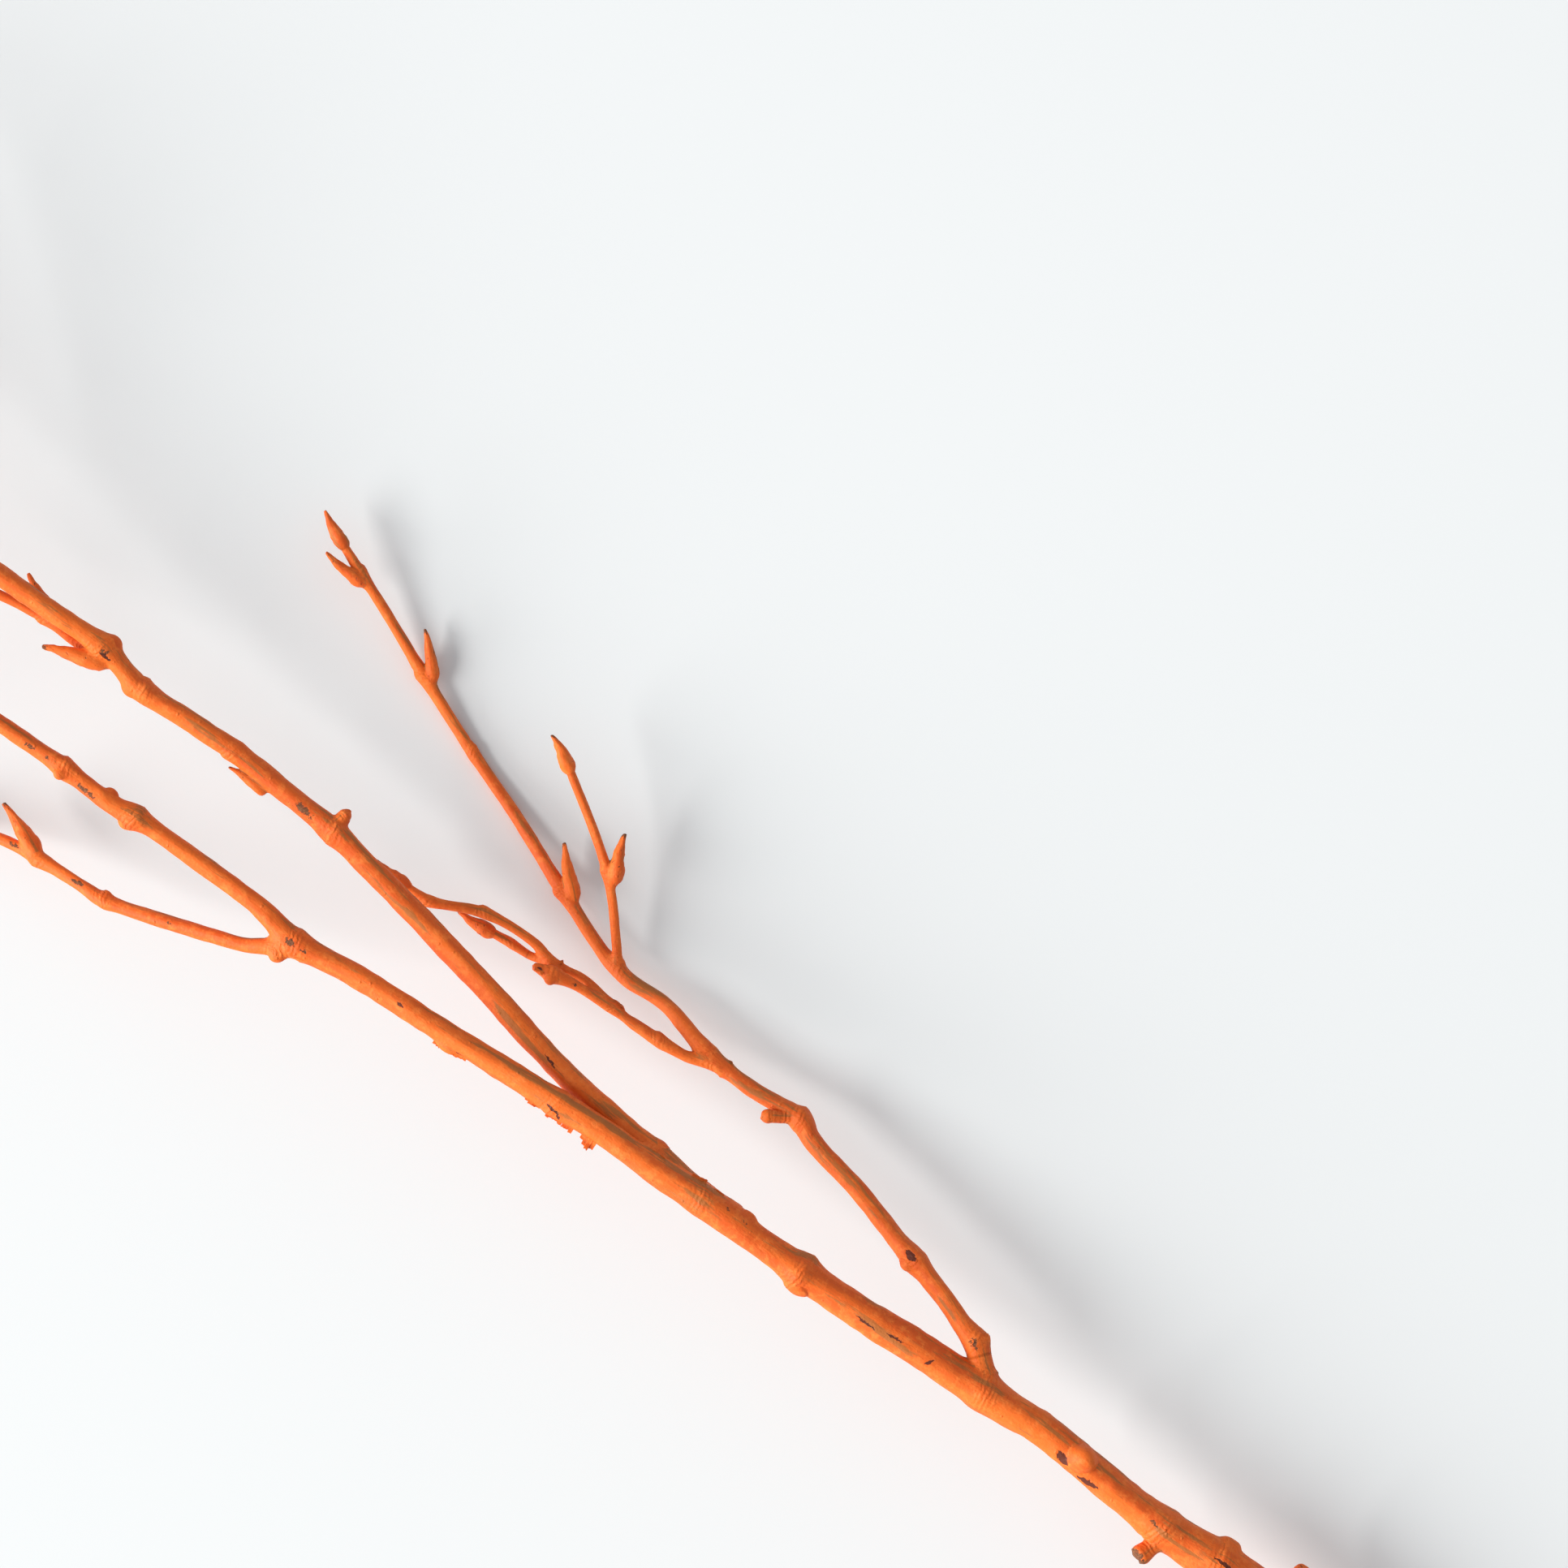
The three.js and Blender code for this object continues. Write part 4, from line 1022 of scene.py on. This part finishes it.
def keep_largest_shell(mesh):
    """Drops the sealed pockets and scraps that a union leaves."""
    edges = read_all(mesh.edges, "vertices", 2, np.int64)
    label = np.arange(len(mesh.vertices))
    while True:
        low = np.minimum(label[edges[:, 0]], label[edges[:, 1]])
        fresh = label.copy()
        np.minimum.at(fresh, edges[:, 0], low)
        np.minimum.at(fresh, edges[:, 1], low)
        fresh = fresh[fresh]
        if np.array_equal(fresh, label):
            break
        label = fresh
    names, sizes = np.unique(label, return_counts=True)
    if len(names) == 1:
        return
    work = bmesh.new()
    work.from_mesh(mesh)
    work.verts.ensure_lookup_table()
    stray = [work.verts[i] for i in np.flatnonzero(label != names[np.argmax(sizes)])]
    bmesh.ops.delete(work, geom=stray, context="VERTS")
    work.to_mesh(mesh)
    work.free()


def soften_creases(mesh):
    """Evens out the creases where limbs, buds and knobs were joined."""
    count = len(mesh.vertices)
    place = read_all(mesh.vertices, "co", 3)
    one, other = read_all(mesh.edges, "vertices", 2, np.int64).T
    ends = np.concatenate([one, other])
    far_ends = np.concatenate([other, one])
    degree = np.maximum(np.bincount(ends, minlength=count), 1)
    share = 0.5 * np.clip(read_all(mesh.attributes["soft"].data, "value"), 0, 1)
    for _ in range(SOFTENING_ROUNDS):
        for axis in range(3):
            mean = np.bincount(ends, weights=place[far_ends, axis], minlength=count) / degree
            place[:, axis] += share * (mean - place[:, axis])
    place[:, 2] = np.maximum(place[:, 2], 0)
    mesh.vertices.foreach_set("co", place.ravel())


def build_branch(limbs, material):
    plan = bud_plan(limbs)
    marks = limb_marks(limbs, plan)
    grids = {name: limb_grid(limb, number, marks[name]) for number, (name, limb) in enumerate(limbs.items())}
    for name, limb in limbs.items():
        if limb.parent:
            soften_joint(grids[name], grids[limb.parent])
    patchwork = Patchwork()
    for grid in grids.values():
        add_limb(patchwork, grid)
    add_buds(patchwork, plan, limbs)
    add_spurs(patchwork, limbs)
    for number, row in enumerate(rows_of(KNOBS, limbs)):
        add_knob(patchwork, number, *row)
    piece = join_pieces(patchwork, "branch_bark")
    mesh = piece.data
    keep_largest_shell(mesh)
    soften_creases(mesh)
    mesh.materials.clear()
    mesh.materials.append(material)
    mesh.polygons.foreach_set("material_index", np.zeros(len(mesh.polygons), dtype=np.int32))
    mesh.shade_smooth()
    mesh.update()
    return piece


# Torn flakes of paint, each a thin curled sheet with a stepped edge

FLAKE_THICKNESS = 0.16
FLAKE_ROOT = 0.5
FLAKE_ROOT_SPREAD = 0.3
TOOTH_STEPS = (0.06, 0.5, 0.94)
# Points of a row in the order that runs round the sheet.
FLAKE_ROUND = (0, 2, 4, 5, 3, 1)
# What the paint reads on a flake: a little worn, with no crack, ring or cut near.
FLAKE_SHADING = {"wear": (0.05, 0.2, 0), "crack": (FAR, FAR, 0), "ring": (FAR, 0, 0), "cut": (0,)}


def flake_rows(limb, along, degrees, reach, length, teeth, number):
    """Points from the sunk root of a flake out to its torn edge, for each step along it."""
    centre, forward, outward, radius = bark_place(limb, along, degrees)
    across = np.cross(outward, forward)
    rows = []
    for tooth in range(teeth):
        envelope = math.sin(math.pi * (tooth + 0.7) / (teeth + 0.4)) ** 0.5
        tall = reach * envelope * (0.35 + 0.75 * draw(number * 41 + tooth * 1.7))
        curl = 0.5 * tall * (draw(number * 53 + tooth) - 0.35)
        for edge in TOOTH_STEPS:
            share = (tooth + edge) / teeth - 0.5
            slide = share * length + 0.1 * (draw(number * 67 + tooth * 3 + edge) - 0.5)
            lift = tall * (0.85 + 0.3 * draw(number * 71 + tooth * 5 + edge))
            line = centre + forward * slide
            root = line + outward * (radius - FLAKE_ROOT)
            middle = line + outward * (radius + 0.35 * lift) + across * curl * 0.2
            tip = line + outward * (radius + lift) + across * curl
            rows.append((root, middle, tip))
    return rows, across


def build_flakes(limbs, material):
    points = []
    faces = []
    grain = []
    for number, (name, place, degrees, reach, length, teeth) in enumerate(FLAKES):
        limb = limbs[name]
        rows, across = flake_rows(limb, limb.distance_of(place), degrees, reach, length, teeth, number)
        first = len(points)
        for root, middle, tip in rows:
            for point, spread in ((root, FLAKE_ROOT_SPREAD), (middle, 0), (tip, 0)):
                half = across * (FLAKE_THICKNESS / 2 + spread)
                points += [point - half, point + half]
        end = len(points) - 6
        for a in range(first, end, 6):
            for i, j in zip(FLAKE_ROUND, FLAKE_ROUND[1:] + FLAKE_ROUND[:1]):
                faces.append((a + i, a + j, a + j + 6, a + i + 6))
        for low in (0, 2):
            faces.append((first + low, first + low + 1, first + low + 3, first + low + 2))
            faces.append((end + low + 2, end + low + 3, end + low + 1, end + low))
        grain += [point + np.array([0, 0, 60 * number]) for point in points[first:]]
    mesh = bpy.data.meshes.new("paint_flakes")
    mesh.from_pydata([tuple(p) for p in to_part(np.array(points)) * MM], [], faces)
    set_attribute(mesh, "grain", "POINT", np.array(grain))
    for key, value in FLAKE_SHADING.items():
        set_attribute(mesh, key, "POINT", np.tile(np.array(value, float), (len(points), 1)))
    mesh.materials.append(material)
    return show("paint_flakes", mesh)


# Materials

class Value:
    """A number, vector or colour in a material: arithmetic on it adds the nodes that work it out."""

    def __init__(self, make, socket):
        self.make, self.socket = make, socket

    def beside(self, output):
        """Another output of the same node."""
        return Value(self.make, self.socket.node.outputs[output])

    def __add__(self, other):
        return self.make.math("ADD", self, other)

    def __sub__(self, other):
        return self.make.math("SUBTRACT", self, other)

    def __rsub__(self, other):
        return self.make.math("SUBTRACT", other, self)

    def __mul__(self, other):
        return self.make.math("MULTIPLY", self, other)

    def __truediv__(self, other):
        return self.make.math("DIVIDE", self, other)

    def __abs__(self):
        return self.make.math("ABSOLUTE", self)


class Nodes:
    """A small helper for a material's node tree."""

    def __init__(self, name):
        self.material = bpy.data.materials.new(name)
        self.material.use_nodes = True
        self.tree = self.material.node_tree
        self.shader = self.tree.nodes["Principled BSDF"]

    def feed(self, socket, value):
        """Links a value to a socket, or sets a plain number or colour on it."""
        if isinstance(value, Value):
            self.tree.links.new(value.socket, socket)
        else:
            socket.default_value = value

    def new(self, kind, output, inputs, **settings):
        """Adds a node with its settings and inputs, and gives one of its outputs."""
        node = self.tree.nodes.new(kind)
        for key, value in settings.items():
            setattr(node, key, value)
        for key, value in inputs.items():
            self.feed(node.inputs[key], value)
        return Value(self, node.outputs[output])

    def math(self, operation, a, b=0.0, clamp=False):
        return self.new("ShaderNodeMath", 0, {0: a, 1: b}, operation=operation, use_clamp=clamp)

    def ramp(self, value, low, high):
        """0 below low, 1 above high, smooth between."""
        return self.new("ShaderNodeMapRange", 0, {0: value, 1: low, 2: high}, interpolation_type="SMOOTHSTEP")

    def noise(self, vector, scale, detail, roughness):
        inputs = {"Vector": vector, "Scale": scale, "Detail": detail, "Roughness": roughness}
        return self.new("ShaderNodeTexNoise", "Fac", inputs)

    def stretched(self, vector, scale):
        return self.new("ShaderNodeVectorMath", 0, {0: vector, 1: scale}, operation="MULTIPLY")

    def mix(self, share, a, b):
        return self.new("ShaderNodeMix", 2, {0: share, 6: a, 7: b}, data_type="RGBA")

    def attribute(self, name, output):
        return self.new("ShaderNodeAttribute", output, {}, attribute_name=name)

    def parts(self, vector):
        """The three numbers of a vector or colour."""
        first = self.new("ShaderNodeSeparateXYZ", 0, {0: vector})
        return first, first.beside(1), first.beside(2)

    def finish(self, **values):
        """Sets the shader's own sockets, with _ for the spaces in their names."""
        for key, value in values.items():
            self.feed(self.shader.inputs[key.replace("_", " ")], value)
        return self.material


# Colours of the paint, from its mid tone to where it lies thin, and of what shows under it; the thin olive
# and the dark bark also serve as painted shade.
ORANGE = (0.79, 0.139, 0.012, 1)
ORANGE_DEEP = (0.67, 0.094, 0.008, 1)
ORANGE_BROWN = (0.5, 0.088, 0.012, 1)
ORANGE_CHALK = (0.85, 0.19, 0.029, 1)
# Olive of thin paint, also the colour of the painted shade band on each limb's shaded side.
THIN_PAINT_AND_SHADE = (0.36, 0.118, 0.024, 1)
BARE_BARK = (0.165, 0.08, 0.035, 1)
# Dark bark in the bare patches; also the colour of the painted shade in the creases of bud scales.
DARK_BARK_AND_SHADE = (0.05, 0.026, 0.014, 1)
MAROON = (0.075, 0.014, 0.007, 1)
WOOD = (0.62, 0.45, 0.27, 1)
WOOD_RING = (0.43, 0.28, 0.15, 1)
FLOOR_GREY = (0.702, 0.722, 0.726, 1)
FLOOR_PALE = (0.717, 0.737, 0.742, 1)

# Noises: scale in lumps a millimetre, detail, roughness.
PATCH_NOISE = (0.32, 4.0, 0.6)
CHALK_NOISE = (0.75, 4.0, 0.62)
MOTTLE_NOISE = (2.4, 3.0, 0.6)
THIN_NOISE = (0.9, 4.0, 0.62)
CHIP_NOISE = (1.5, 5.0, 0.7)
BARK_TONE_NOISE = (3.5, 4.0, 0.7)
WRINKLE_NOISE = (2.6, 4.0, 0.6)
CRACK_EDGE_NOISE = (1.6, 3.0, 0.6)
CREASE_NOISE = (0.9, 2.0, 0.5)
FLOOR_NOISE = (1.3, 2.0, 0.5)

# Growth rings of the cut face, and how the grain is drawn out along the limb.
RING_PATTERN = {"Scale": 0.55, "Distortion": 1.4, "Detail": 3.0, "Detail Scale": 1.2}
STREAK_STRETCH = (1.0, 1.0, 0.1)
WRINKLE_STRETCH = (1.0, 1.0, 0.28)
PORE_STRETCH = (1.0, 1.0, 1.3)

# Levels between which a layer of paint or bark starts to show and shows in full.
PATCH_LEVELS = (0.36, 0.62)
CHALK_LEVELS = (0.46, 0.7)
MOTTLE_LEVELS = (0.52, 0.74)
THIN_AND_SHADE_LEVELS = (0.66, 0.76)
BARE_LEVELS = (0.765, 0.8)
BARK_TONE_LEVELS = (0.4, 0.62)
CREVICE_SHADE_LEVELS = (0.66, 0.9)
CRACK_LEVELS = (0.75, 1.05)
PORE_CHOICE_LEVELS = (0.3, 0.32)
PORE_DOME_LEVELS = (0.04, 0.15)
WOOD_LEVELS = (0.3, 0.8)
CUT_LEVELS = (0.4, 0.6)
FLOOR_LEVELS = (0.3, 0.7)

CRACK_WANDER = 0.9
CREASE_WANDER = 1.1
CREASE_GAP = 0.8
CREASE_REACH = 2.4
PORE_SCALE = 0.42
BUMP_DISTANCE = 0.00026
BUMP_STRENGTH = 0.85


def crack_mask(make, grain):
    """1 inside a crack, whose edges wander in and out."""
    share, aside, half_width = make.parts(make.attribute("crack", "Vector"))
    jag = make.noise(grain, *CRACK_EDGE_NOISE) - 0.5
    taper = make.math("MAXIMUM", half_width * (1.0 - share * share), 0.001)
    return 1.0 - make.ramp(abs(aside + jag * CRACK_WANDER) / taper, *CRACK_LEVELS)


def crease_height(make, grain):
    """Fine rings round the scars and the roots of side limbs."""
    gap, strength, _ = make.parts(make.attribute("ring", "Vector"))
    step = gap + (make.noise(grain, *CREASE_NOISE) - 0.5) * CREASE_WANDER
    wave = make.math("COSINE", step * (2 * math.pi / CREASE_GAP))
    fade = make.math("SUBTRACT", 1.0, abs(step) / CREASE_REACH, clamp=True)
    return wave * fade * strength


def pore_height(make, grain):
    """Scattered raised pores."""
    inputs = {"Vector": make.stretched(grain, PORE_STRETCH), "Scale": PORE_SCALE}
    distance = make.new("ShaderNodeTexVoronoi", "Distance", inputs)
    chosen = make.ramp(make.parts(distance.beside("Color"))[0], *PORE_CHOICE_LEVELS)
    return (1.0 - make.ramp(distance, *PORE_DOME_LEVELS)) * chosen


def wood_colour(make, grain):
    """Growth rings of the cut face."""
    settings = dict(wave_type="RINGS", rings_direction="Z")
    rings = make.new("ShaderNodeTexWave", "Fac", {"Vector": grain, **RING_PATTERN}, **settings)
    return make.mix(make.ramp(rings, *WOOD_LEVELS), WOOD_RING, WOOD)


def painted_bark():
    make = Nodes("painted_bark")
    grain = make.attribute("grain", "Vector")
    # The wear attribute holds bare bark, thin paint with painted shade on the shaded side, and painted shade
    # in bud creases.
    bare_mask, thin_mask, crevice_shade_mask = make.parts(make.attribute("wear", "Vector"))
    streaks = make.stretched(grain, STREAK_STRETCH)
    patches = make.noise(streaks, *PATCH_NOISE)
    chalk = make.noise(grain, *CHALK_NOISE)
    mottle = make.noise(grain, *MOTTLE_NOISE)
    chips = make.noise(grain, *CHIP_NOISE)
    # The thin-paint layer also carries the painted shade band on each limb's shaded side.
    thin = make.ramp(make.noise(streaks, *THIN_NOISE) + thin_mask * 0.32, *THIN_AND_SHADE_LEVELS)
    bare = make.ramp(chips + bare_mask * 0.42, *BARE_LEVELS)
    bark_tone = make.ramp(make.noise(grain, *BARK_TONE_NOISE), *BARK_TONE_LEVELS)
    # Painted shade in the creases of bud scales, mixed in as dark bark.
    crevice_shade = make.ramp(crevice_shade_mask * 0.6 + chips * 0.6, *CREVICE_SHADE_LEVELS)
    crack = crack_mask(make, grain)

    colour = make.mix(make.ramp(patches, *PATCH_LEVELS), ORANGE_DEEP, ORANGE)
    for share, over in (
        (make.ramp(chalk, *CHALK_LEVELS) * 0.75, ORANGE_CHALK),
        (make.ramp(mottle, *MOTTLE_LEVELS) * 0.4, ORANGE_BROWN),
        # Olive thin paint, together with the painted shade band.
        (thin * 0.85, THIN_PAINT_AND_SHADE),
        (bare * 0.9, make.mix(bark_tone, DARK_BARK_AND_SHADE, BARE_BARK)),
        # Painted shade in the creases of bud scales.
        (crevice_shade * 0.8, DARK_BARK_AND_SHADE),
        (crack * 0.95, MAROON),
        (make.ramp(make.attribute("cut", "Fac"), *CUT_LEVELS), wood_colour(make, grain)),
    ):
        colour = make.mix(share, colour, over)

    rough = make.math("ADD", chalk * 0.16 + 0.51, bare * 0.2, clamp=True)
    height = make.noise(make.stretched(grain, WRINKLE_STRETCH), *WRINKLE_NOISE) * 0.4 + mottle * 0.35
    height = height + crease_height(make, grain) * 0.3 + pore_height(make, grain) * 0.45
    height = height - bare * 0.3 - crack * 0.9 - crevice_shade * 0.3
    bump = {"Height": height, "Distance": BUMP_DISTANCE, "Strength": BUMP_STRENGTH}
    normal = make.new("ShaderNodeBump", 0, bump)
    return make.finish(Base_Color=colour, Roughness=rough, Normal=normal, Specular_IOR_Level=0.28)


def pale_surface():
    make = Nodes("pale_surface")
    place = make.new("ShaderNodeTexCoord", "Object", {})
    cloud = make.ramp(make.noise(place, *FLOOR_NOISE), *FLOOR_LEVELS)
    colour = make.mix(cloud, FLOOR_GREY, FLOOR_PALE)
    return make.finish(Base_Color=colour, Roughness=0.75, Specular_IOR_Level=0.2)


# Camera, light and floor. The plan's own origin is the middle of the view.

VIEW_WIDTH = 0.2415
VIEW_DISTANCE = 1.0
FOCUS_HEIGHT = 0.018
SENSOR = 36.0
FAR_CLIP = 20
KEY_PLACE = (-4.33, -1.3, 2.1)
KEY_SIZE = 4.2
KEY_POWER = 525
KEY_COLOUR = (1.0, 0.99, 0.97)
FLOOR_HALF = 2.2
FLOOR_STEPS = 24
SKY_COLOUR = (0.95, 0.97, 1.0, 1)
SKY_STRENGTH = 0.55


def plan_place(x, y, z):
    """A place given in plan metres, in the part's frame."""
    turned = to_part(np.array([x, y, 0.0]) / MM) * MM
    return (turned[0], turned[1], z)


def build_camera():
    data = bpy.data.cameras.new("camera")
    data.sensor_width = SENSOR
    data.lens = SENSOR * VIEW_DISTANCE / VIEW_WIDTH
    data.clip_end = FAR_CLIP
    camera = show("camera", data)
    camera.location = plan_place(0, 0, FOCUS_HEIGHT + VIEW_DISTANCE)
    camera.rotation_euler = (0, 0, PLAN_TURN)
    bpy.context.scene.camera = camera


def build_key_light():
    data = bpy.data.lights.new("key", "AREA")
    data.shape = "DISK"
    data.size = KEY_SIZE
    data.energy = KEY_POWER
    data.color = KEY_COLOUR
    light = show("key", data)
    light.location = plan_place(*KEY_PLACE)
    aim = Vector(plan_place(0, 0, 0.0)) - light.location
    light.rotation_euler = aim.to_track_quat("-Z", "Y").to_euler()


def build_floor():
    axis = np.linspace(-FLOOR_HALF, FLOOR_HALF, FLOOR_STEPS)
    points = [(x, y, 0.0) for y in axis for x in axis]
    corners = [row * FLOOR_STEPS + i for row in range(FLOOR_STEPS - 1) for i in range(FLOOR_STEPS - 1)]
    mesh = bpy.data.meshes.new("floor")
    mesh.from_pydata(points, [], [(a, a + 1, a + 1 + FLOOR_STEPS, a + FLOOR_STEPS) for a in corners])
    mesh.materials.append(pale_surface())
    show("floor", mesh)


def build_world():
    world = bpy.data.worlds.new("studio")
    world.use_nodes = True
    sky = world.node_tree.nodes["Background"]
    sky.inputs["Color"].default_value = SKY_COLOUR
    sky.inputs["Strength"].default_value = SKY_STRENGTH
    bpy.context.scene.world = world
    bpy.context.scene.view_settings.view_transform = "Standard"


limbs = grow_limbs()
paint = painted_bark()
branch = build_branch(limbs, paint)
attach(branch, "root")
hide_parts("birch_branch")
flakes = build_flakes(limbs, paint)
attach(flakes, "root")

build_floor()
build_world()
build_camera()
build_key_light()
